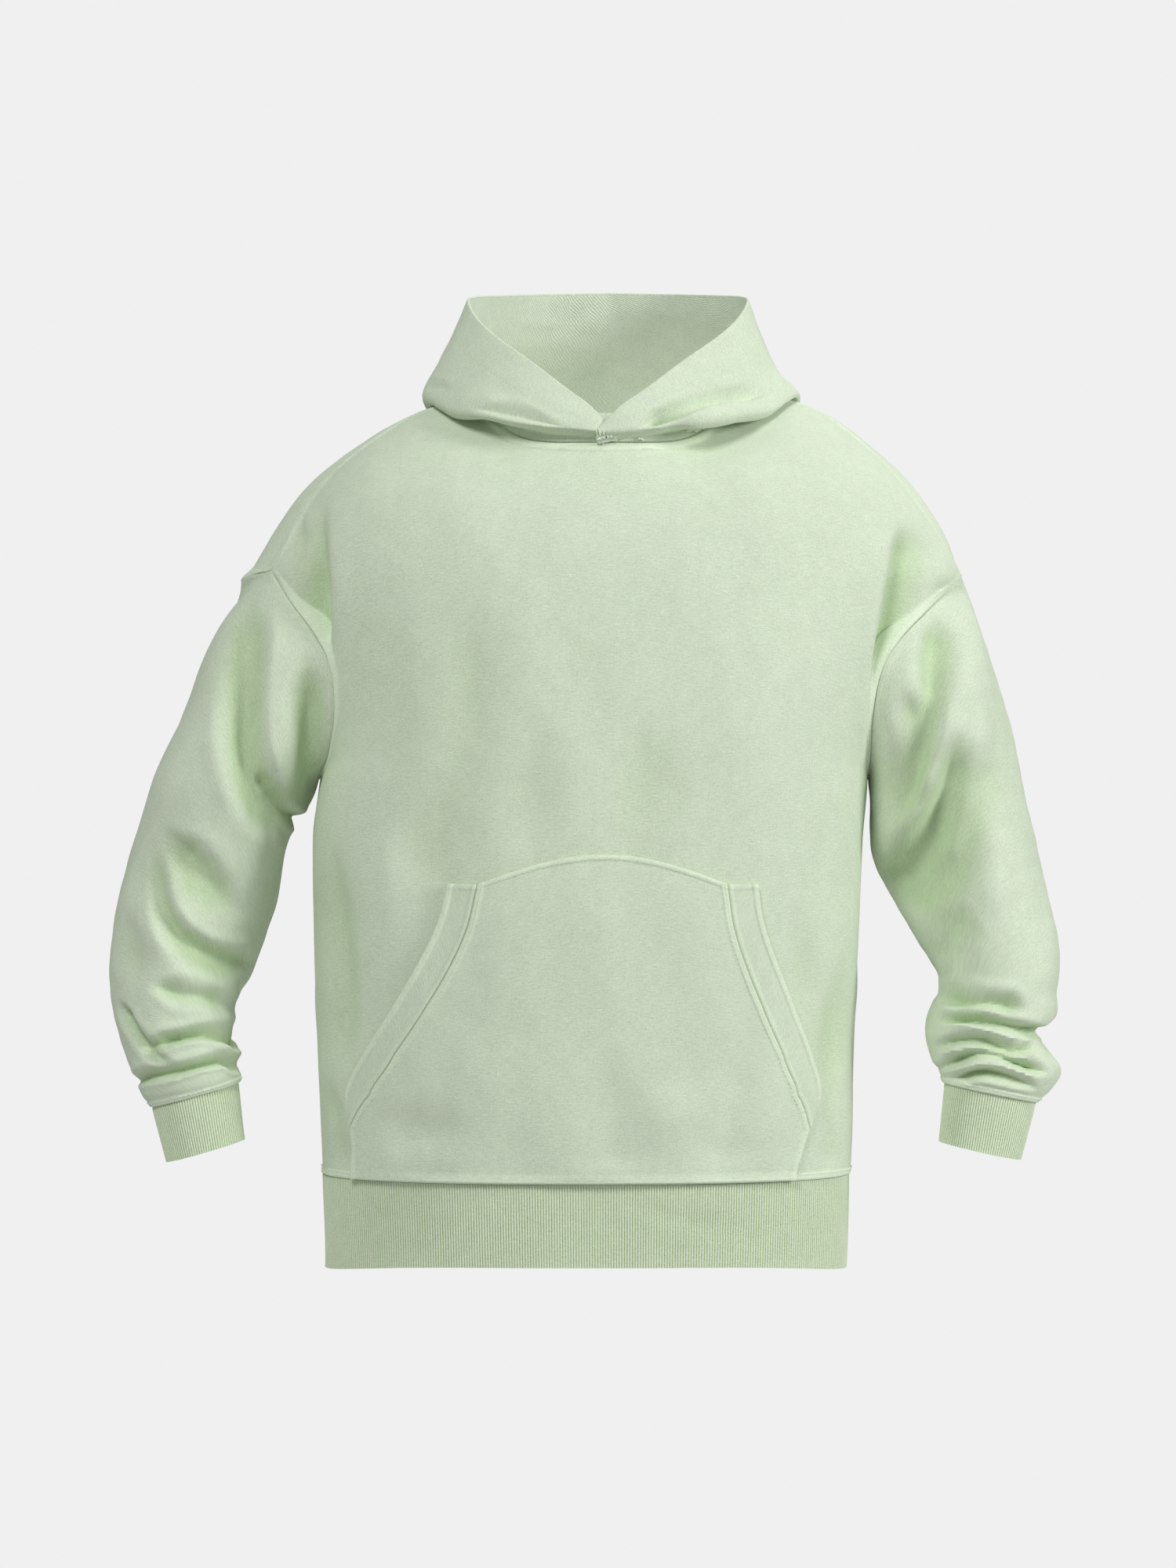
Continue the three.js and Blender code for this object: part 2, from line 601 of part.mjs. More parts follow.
// A line of points on the front panel at one height, with the distance along it.
function frontLine(front, z) {
  const rows = front.slice(0, SIDE_ROWS + 1);
  const heights = rows.map((row) => row[0].z);
  let k = 0;
  while (k < heights.length - 2 && heights[k + 1] < z) k++;
  const share = (z - heights[k]) / (heights[k + 1] - heights[k]);
  return rows[k].map((point, i) => point.clone().lerp(rows[k + 1][i], share));
}

// A point on the front panel, a distance along the cloth from the pocket's middle line.
function onFront(front, distance, z, lift) {
  const line = frontLine(front, z);
  const startX = along(POCKET_MIDDLE, "z", z).x;
  let k = 0;
  while (line[k + 1].x < startX) k++;
  const share = (startX - line[k].x) / (line[k + 1].x - line[k].x);
  let here = line[k].clone().lerp(line[k + 1], share);
  let left = Math.abs(distance);
  const step = Math.sign(distance) || 1;
  let next = step > 0 ? k + 1 : k;
  while (next > 0 && next < line.length - 1 && here.distanceTo(line[next]) < left) {
    left -= here.distanceTo(line[next]);
    here = line[next].clone();
    next += step;
  }
  const way = line[next].clone().sub(here).normalize();
  here.addScaledVector(way, left);
  const out = new THREE.Vector3(way.y, -way.x, 0).multiplyScalar(step);
  return here.addScaledVector(out, lift);
}

// The pocket panel between its two facings.
function pocketGrid(front, lift) {
  const grid = [];
  for (let j = 0; j <= POCKET_LOW_ROWS + FACING_ROWS; j++) {
    const row = [];
    const high = Math.max(0, (j - POCKET_LOW_ROWS) / FACING_ROWS);
    const low = Math.min(1, j / POCKET_LOW_ROWS);
    const sideZ = high
      ? THREE.MathUtils.lerp(FACING_END_Z, POCKET_TOP_Z, high)
      : THREE.MathUtils.lerp(POCKET_BOTTOM_Z, FACING_END_Z, low);
    const half = facingLines(sideZ).inner - SEAM_GAP;
    for (let i = 0; i <= POCKET_COLUMNS; i++) {
      const across = (2 * i) / POCKET_COLUMNS - 1;
      const z = sideZ + high * POCKET_ARC_RISE * Math.cos((across * Math.PI) / 2);
      row.push(onFront(front, across * half, z, lift));
    }
    grid.push(row);
  }
  return grid;
}

// The outer edge of the pocket opening and the seam where its facing meets the pocket.
function facingLines(z) {
  const outer = along(POCKET_EDGE, "z", z).half;
  if (z <= FACING_END_Z) return { outer, inner: outer };
  const slope = along(POCKET_EDGE, "z", Math.max(z, POCKET_CORNER_Z + 1)).half;
  const lower = along(POCKET_EDGE, "z", Math.max(z, POCKET_CORNER_Z + 1) + 1).half;
  const width = FACING_WIDTH * Math.hypot(1, slope - lower);
  if (z >= POCKET_CORNER_Z) return { outer, inner: outer - width };
  const share = (z - FACING_END_Z) / (POCKET_CORNER_Z - FACING_END_Z);
  return { outer, inner: outer - width * share };
}

// One facing strip beside a pocket opening.
function facingGrid(front, side, lift) {
  const grid = [];
  for (let j = 0; j <= FACING_ROWS; j++) {
    const share = j / FACING_ROWS;
    const innerZ = THREE.MathUtils.lerp(FACING_END_Z, POCKET_TOP_Z, share);
    const outerZ = THREE.MathUtils.lerp(POCKET_CORNER_Z, POCKET_TOP_Z, share);
    const inner = facingLines(innerZ).inner + SEAM_GAP;
    const outer = facingLines(outerZ).outer;
    const row = [];
    for (let i = 0; i <= 2; i++) {
      const distance = side * THREE.MathUtils.lerp(inner, outer, i / 2);
      row.push(onFront(front, distance, THREE.MathUtils.lerp(innerZ, outerZ, i / 2), lift));
    }
    grid.push(side > 0 ? row : row.reverse());
  }
  return grid;
}

// Draws the edge points of a sewn panel back by half the seam gap.
function easeSeams(grid, closed) {
  const pull = (point, from) => {
    const way = from.clone().sub(point);
    point.addScaledVector(way.normalize(), SEAM_GAP / 2);
  };
  const [rows, columns] = [grid.length, grid[0].length];
  for (let i = 0; i < columns; i++) {
    pull(grid[0][i], grid[1][i]);
    pull(grid[rows - 1][i], grid[rows - 2][i]);
  }
  if (closed) return;
  for (let j = 0; j < rows; j++) {
    pull(grid[j][0], grid[j][1]);
    pull(grid[j][columns - 1], grid[j][columns - 2]);
  }
}

const placeKey = (p) => [p.x, p.y, p.z].map((n) => Math.round(n * 100) + 0).join();

// The two triangles of every cell of a grid.
function cells(rows, columns, closed, visit) {
  const wide = closed ? columns : columns - 1;
  for (let j = 0; j < rows - 1; j++) {
    for (let i = 0; i < wide; i++) {
      const next = (i + 1) % columns;
      const [a, b] = [j * columns + i, j * columns + next];
      const [c, d] = [(j + 1) * columns + next, (j + 1) * columns + i];
      visit(a, b, c);
      visit(a, c, d);
    }
  }
}

// Outward direction at each grid point. Pieces that are sewn together share it at the seam,
// except in a deep notch, where each family of pieces keeps its own.
function normalsOf(pieces) {
  const sums = new Map();
  const addTo = (key, face) => {
    if (!sums.has(key)) sums.set(key, new THREE.Vector3());
    sums.get(key).add(face);
  };
  for (const { grid, closed, family } of pieces) {
    const points = grid.flat();
    cells(grid.length, grid[0].length, closed, (...corner) => {
      const [a, b, c] = corner.map((k) => points[k]);
      const face = b.clone().sub(a).cross(c.clone().sub(a));
      for (const point of [a, b, c]) {
        addTo(placeKey(point), face);
        addTo(family + placeKey(point), face);
      }
    });
  }
  return pieces.map(({ grid, family }) =>
    grid.flat().map((point) => {
      const shared = sums.get(placeKey(point)).clone().normalize();
      const own = sums.get(family + placeKey(point)).clone().normalize();
      return shared.dot(own) < NOTCH_COSINE ? own : shared;
    }),
  );
}

// A closed wall between a grid of outer points and the same grid moved in by its thickness.
function wall(grid, normals, thickness, closed) {
  const [rows, columns] = [grid.length, grid[0].length];
  const outer = grid.flat();
  const count = outer.length;
  const inner = outer.map((point, k) => point.clone().addScaledVector(normals[k], -thickness));
  const faces = [];
  cells(rows, columns, closed, (a, b, c) => {
    faces.push(a, b, c, count + a, count + c, count + b);
  });
  const strip = (a, b) => faces.push(b, a, count + a, b, count + a, count + b);
  const wide = closed ? columns : columns - 1;
  for (let i = 0; i < wide; i++) {
    const next = (i + 1) % columns;
    strip(i, next);
    strip((rows - 1) * columns + next, (rows - 1) * columns + i);
  }
  if (!closed) {
    for (let j = 0; j < rows - 1; j++) {
      strip((j + 1) * columns, j * columns);
      strip((j + 1) * columns - 1, (j + 2) * columns - 1);
    }
  }
  return solid([...outer, ...inner], faces);
}

function solid(points, faces) {
  const made = new THREE.BufferGeometry();
  made.setAttribute(
    "position",
    new THREE.Float32BufferAttribute(
      points.flatMap((p) => [p.x, p.y, p.z]),
      3,
    ),
  );
  made.setIndex(faces);
  made.computeVertexNormals();
  return made;
}

// A ribbed band between two closed lines: ribs stand up outside, and the inside is plain.
function ribbedBand(lineAt, ribs) {
  const columns = 2 * ribs;
  const points = [];
  const outAt = (share, height) => {
    const step = 1e-3;
    const ahead = lineAt((share + step) % 1, height);
    const behind = lineAt((share + 1 - step) % 1, height);
    const up = lineAt(share, 1).sub(lineAt(share, 0));
    return ahead.sub(behind).cross(up).normalize();
  };
  for (const height of [0, 1]) {
    for (let i = 0; i < columns; i++) {
      const share = i / columns;
      const raise = i % 2 === 0 ? 0 : -RIB_HEIGHT;
      points.push(lineAt(share, height).addScaledVector(outAt(share, height), raise));
    }
  }
  for (const height of [0, 1]) {
    for (let i = 0; i < INNER_RIB_COLUMNS; i++) {
      const share = i / INNER_RIB_COLUMNS;
      points.push(lineAt(share, height).addScaledVector(outAt(share, height), -RIB_CLOTH));
    }
  }
  const faces = [];
  const insideStart = 2 * columns;
  for (let i = 0; i < columns; i++) {
    const next = (i + 1) % columns;
    faces.push(i, next, columns + next, i, columns + next, columns + i);
  }
  for (let i = 0; i < INNER_RIB_COLUMNS; i++) {
    const next = (i + 1) % INNER_RIB_COLUMNS;
    const [a, b] = [insideStart + i, insideStart + next];
    const [c, d] = [b + INNER_RIB_COLUMNS, a + INNER_RIB_COLUMNS];
    faces.push(a, c, b, a, d, c);
  }
  for (const height of [0, 1]) {
    const flip = height === 0;
    const [outStart, inStart] = [height * columns, insideStart + height * INNER_RIB_COLUMNS];
    let inside = 0;
    for (let i = 0; i < columns; i++) {
      const next = (i + 1) % columns;
      const tri = [outStart + i, outStart + next, inStart + (inside % INNER_RIB_COLUMNS)];
      faces.push(...(flip ? [tri[1], tri[0], tri[2]] : tri));
      if ((i + 1) / columns >= (inside + 0.5) / INNER_RIB_COLUMNS && inside < INNER_RIB_COLUMNS) {
        const [a, b] = [inside % INNER_RIB_COLUMNS, (inside + 1) % INNER_RIB_COLUMNS];
        const cap = [outStart + next, inStart + b, inStart + a];
        faces.push(...(flip ? [cap[1], cap[0], cap[2]] : cap));
        inside++;
      }
    }
  }
  return solid(points, faces);
}

// The hem band hangs from the body's lowest slice.
function hemBand() {
  const lines = [HEM_BOTTOM_Z, HEM_SEAM_Z - SEAM_GAP].map((z) => {
    const slice = along(BODY, "z", z);
    const { middle, half, front, back } = slice;
    const points = [];
    for (const [name, deep] of [["front", -front], ["back", back]]) {
      const centre = new THREE.Vector3(middle, deep, z);
      const halves = Object.values(SIDES).map((side) =>
        quarter(centre, { x: middle + side * half, y: 0, z }, slice),
      );
      const line = [...halves[0].reverse(), ...halves[1].slice(1)];
      points.push(...(name === "front" ? line : line.reverse().slice(1)));
    }
    return points;
  });
  const length = lines[0].reduce((sum, p, i) => sum + (i ? p.distanceTo(lines[0][i - 1]) : 0), 0);
  const ribs = Math.round(length / RIB_PITCH);
  const even = lines.map((line) => evenly(line, 4 * ribs));
  const lineAt = (share, height) => {
    const place = share * 4 * ribs;
    const k = Math.floor(place) % (4 * ribs);
    return even[height][k].clone().lerp(even[height][k + 1], place - Math.floor(place));
  };
  return ribbedBand(lineAt, ribs);
}

// A cuff between its two rings.
function cuff(name) {
  const count = 720;
  const [top, bottom] = [SLEEVE[name].at(-1), CUFF[name]].map((row) => {
    const points = ring(row, count);
    if (name === "right") return evenly([...points, points[0]], count);
    return evenly([...points, points[0]].reverse(), count);
  });
  const way = new THREE.Vector3();
  bottom.forEach((point, k) => way.add(point).sub(top[k]));
  top.forEach((point) => point.addScaledVector(way.normalize(), SEAM_GAP / 2));
  const length = top.reduce((sum, p, i) => sum + (i ? p.distanceTo(top[i - 1]) : 0), 0);
  const lines = [bottom, top];
  const lineAt = (share, height) => {
    const place = share * count;
    const k = Math.floor(place) % count;
    return lines[height][k].clone().lerp(lines[height][k + 1], place - Math.floor(place));
  };
  return ribbedBand(lineAt, Math.round(length / RIB_PITCH));
}

const hoodie = new THREE.Group();

function addPiece(name, geometry, colour = COLOURS.cloth) {
  const material = new THREE.MeshStandardMaterial({ color: colour, roughness: 0.95, metalness: 0 });
  const mesh = new THREE.Mesh(geometry, material);
  mesh.name = name;
  hoodie.add(mesh);
}

// Body and sleeves are sewn into one surface, so their walls meet at shared directions.
const front = bodyGrid("front", FRONT_COLUMNS);
const back = bodyGrid("back", BACK_COLUMNS);
const sewn = [
  { name: "front_body", family: "body", grid: front, closed: false },
  { name: "back_body", family: "body", grid: back.map((row) => row.map(copyOf).reverse()), closed: false },
];
for (const name of Object.keys(SIDES)) {
  const rings = sleeveGrid(name, front, back);
  const turned = name === "right" ? rings.map((points) => [...points].reverse()) : rings;
  sewn.push({ name: "sleeve_" + name, family: name, grid: turned, closed: true });
}
const pocketLift = POCKET_LIFT + BODY_CLOTH;
const laid = [{ name: "pocket_panel", grid: pocketGrid(front, pocketLift), closed: false }];
for (const [name, side] of Object.entries(SIDES)) {
  laid.push({ name: "pocket_facing_" + name, grid: facingGrid(front, side, pocketLift), closed: false });
}
const hoods = Object.entries(SIDES).map(([name, side]) => {
  return { name: "hood_" + name, family: name, side, grid: hoodGrid(name, front, back), closed: false };
});
settleHoods(hoods, facesOf(sewn.slice(0, 2)));

const sewnNormals = normalsOf(sewn);
sewn.forEach((piece, k) => {
  easeSeams(piece.grid, piece.closed);
  addPiece(piece.name, wall(piece.grid, sewnNormals[k], BODY_CLOTH, piece.closed));
});
for (const piece of laid) {
  addPiece(piece.name, wall(piece.grid, normalsOf([piece])[0], BODY_CLOTH, piece.closed));
}
const hoodNormals = normalsOf(hoods);
hoods.forEach((piece, k) => {
  easeSeams(piece.grid, piece.closed);
  addPiece(piece.name, wall(piece.grid, hoodNormals[k], HOOD_CLOTH, piece.closed));
});
addPiece("hem_band", hemBand(), COLOURS.rib);
for (const name of Object.keys(SIDES)) {
  addPiece("cuff_" + name, cuff(name), COLOURS.rib);
}

export default hoodie;
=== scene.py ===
"""Pullover hoodie in pale fleece: its cut panels, hood, pocket, rib bands and sewing, filled out as if worn."""

import functools

import bpy
import numpy as np
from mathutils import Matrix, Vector
from mathutils.bvhtree import BVHTree


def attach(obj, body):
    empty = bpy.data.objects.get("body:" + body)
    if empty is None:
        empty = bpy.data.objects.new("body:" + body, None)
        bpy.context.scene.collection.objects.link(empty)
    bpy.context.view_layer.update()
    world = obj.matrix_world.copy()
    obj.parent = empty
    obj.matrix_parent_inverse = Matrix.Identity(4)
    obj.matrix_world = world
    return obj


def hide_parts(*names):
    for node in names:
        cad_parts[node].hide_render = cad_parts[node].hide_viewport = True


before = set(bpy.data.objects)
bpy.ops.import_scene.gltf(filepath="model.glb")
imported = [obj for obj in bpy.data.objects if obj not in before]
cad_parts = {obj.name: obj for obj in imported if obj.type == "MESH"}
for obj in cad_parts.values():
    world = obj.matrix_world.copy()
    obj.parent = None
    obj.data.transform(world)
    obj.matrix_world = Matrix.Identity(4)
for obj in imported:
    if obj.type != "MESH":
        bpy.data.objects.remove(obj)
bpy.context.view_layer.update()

bl_info = {
    "name": "Pullover hoodie",
    "version": (1, 0, 0),
    "blender": (4, 5, 0),
    "location": "3D View > Sidebar > Hoodie",
    "description": "Builds a fleece pullover hoodie with its seams, rib bands and stitches",
    "category": "Add Mesh",
}

# Everything below is in millimetres until a mesh is made
MM = 0.001

# Heights on the body
HEM_SEAM_Z = -634
HEM_BOTTOM_Z = -702
HEM_DROP = 10
UNDERARM_Z = -302
SHOULDER_TIP_Z = -134
FRONT_NECK_Z = -31
BACK_NECK_Z = -4

# Hood and pocket sizes
HOOD_LEAN = 0.11
HOOD_BULGE_LEAN = 0.12
HOOD_SHIFT = 4
HOOD_STAND = 8
HOOD_OVERLAP = 7
HOOD_RAISE = {"right": 3, "left": 0}
HOOD_LAP_STEP = 3.5
HOOD_LAP_SPAN = 0.14
HOOD_HEM_DEPTH = 27
FACING_WIDTH = 24
FACING_END_Z = -592
POCKET_CORNER_Z = -563
POCKET_TOP_Z = -390
POCKET_ARC_RISE = 24
POCKET_BOTTOM_Z = -633
FINE = 220

# How far the back panel swells past the right shoulder's tip
TIP_SWELL = 24

SIDES = {"right": -1, "left": 1}


def table(columns, *rows):
    """Named columns of numbers, with the number of each row."""
    made = {name: np.array([row[i] for row in rows], float) for i, name in enumerate(columns.split())}
    made["row"] = np.arange(len(rows), dtype=float)
    return made


# Level slices of the body: the middle line's x, the half width at the side seam, how far the front
# and back stand out, how square the slice is, and how late it rises to its seam
BODY = table(
    "z middle half front back square rise",
    (-702, -16, 218, 113, 109, 2.4, 2),
    (-634, -16, 220, 117, 112, 2.4, 2),
    (-590, -16, 222, 122, 116, 2.4, 2),
    (-540, -16, 224, 126, 118, 2.4, 2),
    (-440, -16, 227.5, 131, 121, 2.4, 2),
    (-360, -14.5, 229.5, 135, 125, 2.5, 2),
    (-302, -9, 229, 137, 128, 2.5, 2),
    (-217, -1, 224, 135, 131, 2.5, 2),
    (-134, 0, 240, 127, 125, 2.4, 2),
    (-90, 0, 242, 117, 114, 2.3, 2.3),
    (-60, 0, 242, 106, 103, 2.2, 3),
    (-31, 0, 242, 89, 86, 2.1, 5),
    (-4, 0, 242, 89, 62, 2.1, 2.5),
)

# Armhole seams from the shoulder tip down to the underarm
ARMHOLE = {
    ("right", "front"): table(
        "x y z",
        (-276, -28, -132),
        (-259, -50, -160),
        (-240, -64, -186),
        (-226, -70, -212),
        (-222, -64, -246),
        (-228, -38, -284),
        (-238, 2, -302),
    ),
    ("right", "back"): table(
        "x y z",
        (-276, -28, -132),
        (-304, 6, -139),
        (-300, 36, -148),
        (-284, 62, -170),
        (-264, 77, -208),
        (-250, 70, -250),
        (-242, 40, -286),
        (-238, 2, -302),
    ),
    ("left", "front"): table(
        "x y z",
        (297, -8, -136),
        (280, -36, -152),
        (262, -56, -170),
        (243, -68, -190),
        (228, -72, -214),
        (220, -64, -250),
        (219, -38, -286),
        (220, 2, -302),
    ),
    ("left", "back"): table(
        "x y z",
        (297, -8, -136),
        (300, 22, -143),
        (285, 54, -166),
        (258, 76, -206),
        (242, 70, -250),
        (226, 40, -286),
        (220, 2, -302),
    ),
}

# Shoulder seams from the tip to the neck, and how far the back panel swells beyond them
SHOULDER = {
    "right": table(
        "x y z swell",
        (-276, -28, -132, 3),
        (-263, -30, -107, 20),
        (-243, -30, -71, 17),
        (-214, -27, -40, 13),
        (-176, -21, -12, 12),
        (-146, -15, 3, 8),
        (-104, -6, 14, 0),
    ),
    "left": table(
        "x y z swell",
        (297, -8, -136, 8),
        (280, -9, -108, 13),
        (260, -10, -77, 16),
        (226, -10, -36, 14),
        (182, -9, -1, 8),
        (148, -8, 11, 4),
        (104, -6, 15, 0),
    ),
}

# Rings of the sleeves: the outermost and innermost points, the middle in y and the half depth
SLEEVE = {
    "right": table(
        "outX outZ inX inZ midY deep",
        (-321, -172, -245, -321, 3, 80),
        (-345, -231, -254, -335, 6, 84),
        (-361, -270, -264, -350, 9, 84),
        (-380, -310, -270, -369, 12, 82),
        (-391, -342, -273, -391, 14, 80),
        (-401, -375, -276, -408, 15, 78),
        (-409, -411, -283, -431, 12, 75),
        (-412, -441, -290, -452, 6, 71),
        (-413, -467, -298, -471, -2, 66),
        (-410, -493, -307, -486, -10, 60),
        (-404, -516, -310, -506, -18, 54),
        (-397, -537, -304, -523, -24, 49),
        (-390, -553, -302, -539, -29, 44),
        (-384, -567, -302, -551, -33, 38),
        (-375, -577, -304, -557, -35, 30),
    ),
    "left": table(
        "outX outZ inX inZ midY deep",
        (313, -172, 222, -327, 3, 80),
        (326, -214, 222, -349, 6, 84),
        (337, -252, 224, -368, 9, 84),
        (346, -288, 229, -381, 12, 82),
        (353, -321, 237, -396, 14, 80),
        (360, -350, 245, -410, 15, 78),
        (366, -380, 253, -425, 13, 75),
        (373, -410, 262, -441, 9, 72),
        (379, -436, 271, -456, 3, 68),
        (380, -460, 279, -472, -5, 63),
        (376, -482, 275, -487, -13, 58),
        (375, -502, 268, -503, -20, 53),
        (361, -519, 266, -517, -26, 48),
        (378, -545, 270, -536, -31, 42),
        (370, -562, 277, -549, -34, 36),
        (357, -573, 281, -557, -35, 30),
    ),
}

# Lowest ring of each cuff
CUFF = {
    "right": {"outX": -363, "outZ": -622, "inX": -298, "inZ": -603.5, "midY": -41, "deep": 28},
    "left": {"outX": 344, "outZ": -620, "inX": 276, "inZ": -605, "midY": -41, "deep": 28},
}

# Hood from the centre front to the centre back: the roll's reach and hang, its bulge, and the rim
HOOD = table(
    "u reach sag bulge rimX rimY rimZ",
    (0, 7, -6, 0.08, 0, -96, -24),
    (0.1, 14, -8.5, 0.08, 17, -92, 0),
    (0.2, 22, -10.5, 0.06, 40, -81, 19),
    (0.3, 30, -5, 0, 66, -62, 40),
    (0.4, 41, 8, -0.05, 92, -40, 60),
    (0.5, 50, 9, -0.07, 109, -20, 77),
    (0.6, 60, 16, -0.07, 118, 2, 93),
    (0.7, 76, 44, -0.02, 115, 30, 101),
    (0.8, 92, 92, 0.06, 94, 62, 106),
    (0.9, 101, 118, 0.08, 53, 88, 110),
    (1, 104, 126, 0.08, 0, 98, 112),
)

# Pocket: its middle line and the half width of its outer edge
POCKET_MIDDLE = table(
    "z x",
    (-634, -29),
    (-563, -18),
    (-470, -7),
    (-366, -1),
)
POCKET_EDGE = table(
    "z half",
    (-634, 187),
    (-600, 193),
    (-563, 202),
    (-530, 187),
    (-490, 164),
    (-450, 143),
    (-420, 131),
    (-390, 125),
)

# Folds of the body: the face, half width, depth (a trough is below 0), lean of its long side to the
# line's left hand, puff beside it, fade at the start and end, and its line of x and z in front view
BODY_FOLDS = (
    ("front", 13, -19, -0.6, 0, 0.35, 0.2, ((-233, -60), (-236, -110), (-238, -180), (-241, -250), (-245, -330))),
    ("front", 8, -5, -0.2, 0.1, 0.3, 0.3, ((-252, -84), (-256, -120), (-262, -150))),
    ("front", 13, -16, 0.7, 0.1, 0.1, 0.2, ((250, -92), (243, -130), (236, -170), (230, -210), (226, -330))),
    ("front", 30, -5, 0.2, 0, 0.4, 0.4, ((-150, -150), (-116, -200), (-120, -290), (-146, -370), (-180, -450))),
    ("front", 22, -4, 0, 0, 0.5, 0.5, ((-60, -230), (-58, -310), (-66, -390))),
    ("front", 22, -3.5, 0, 0, 0.5, 0.5, ((24, -230), (30, -310), (20, -390))),
    ("front", 16, -10, -0.3, 0, 0.4, 0.3, ((-226, -340), (-221, -410), (-214, -480), (-216, -560))),
    ("front", 24, 5, 0, 0, 0.4, 0.4, ((-176, -330), (-178, -420), (-190, -500))),
    ("front", 20, -5, 0.3, 0, 0.4, 0.3, ((150, -400), (162, -460), (176, -520), (190, -580))),
    ("front", 12, -5, 0.4, 0.1, 0.4, 0.1, ((206, -424), (194, -480), (188, -540), (183, -632))),
    ("front", 12, -5, 0, 0.1, 0.4, 0.2, ((-232, -545), (-224, -590), (-214, -630))),
    ("front", 44, 3, 0, 0, 0.5, 0.5, ((-30, -200), (-20, -300), (-40, -400))),
    ("front", 40, 3, 0, 0, 0.5, 0.5, ((120, -120), (130, -240), (110, -360))),
    ("back", 22, -9, 0.3, 0, 0.3, 0.4, ((-214, -120), (-190, -200), (-150, -290), (-120, -380))),
    ("back", 24, -9, -0.2, 0, 0.3, 0.4, ((218, -110), (186, -210), (150, -300), (104, -400))),
    ("back", 30, -5, 0.1, 0, 0.4, 0.4, ((-60, -240), (-30, -330), (-44, -430), (-20, -520))),
    ("back", 20, -7, 0.2, 0, 0.3, 0.3, ((-216, -400), (-178, -470), (-160, -560))),
    ("back", 20, -7, -0.2, 0, 0.3, 0.3, ((204, -390), (160, -460), (138, -560))),
    ("back", 26, -4, 0, 0, 0.4, 0.4, ((70, -420), (40, -500), (64, -600))),
    ("back", 20, -5, 0, 0, 0.4, 0.4, ((-120, -40), (-60, -70), (0, -78), (60, -68), (118, -40))),
)
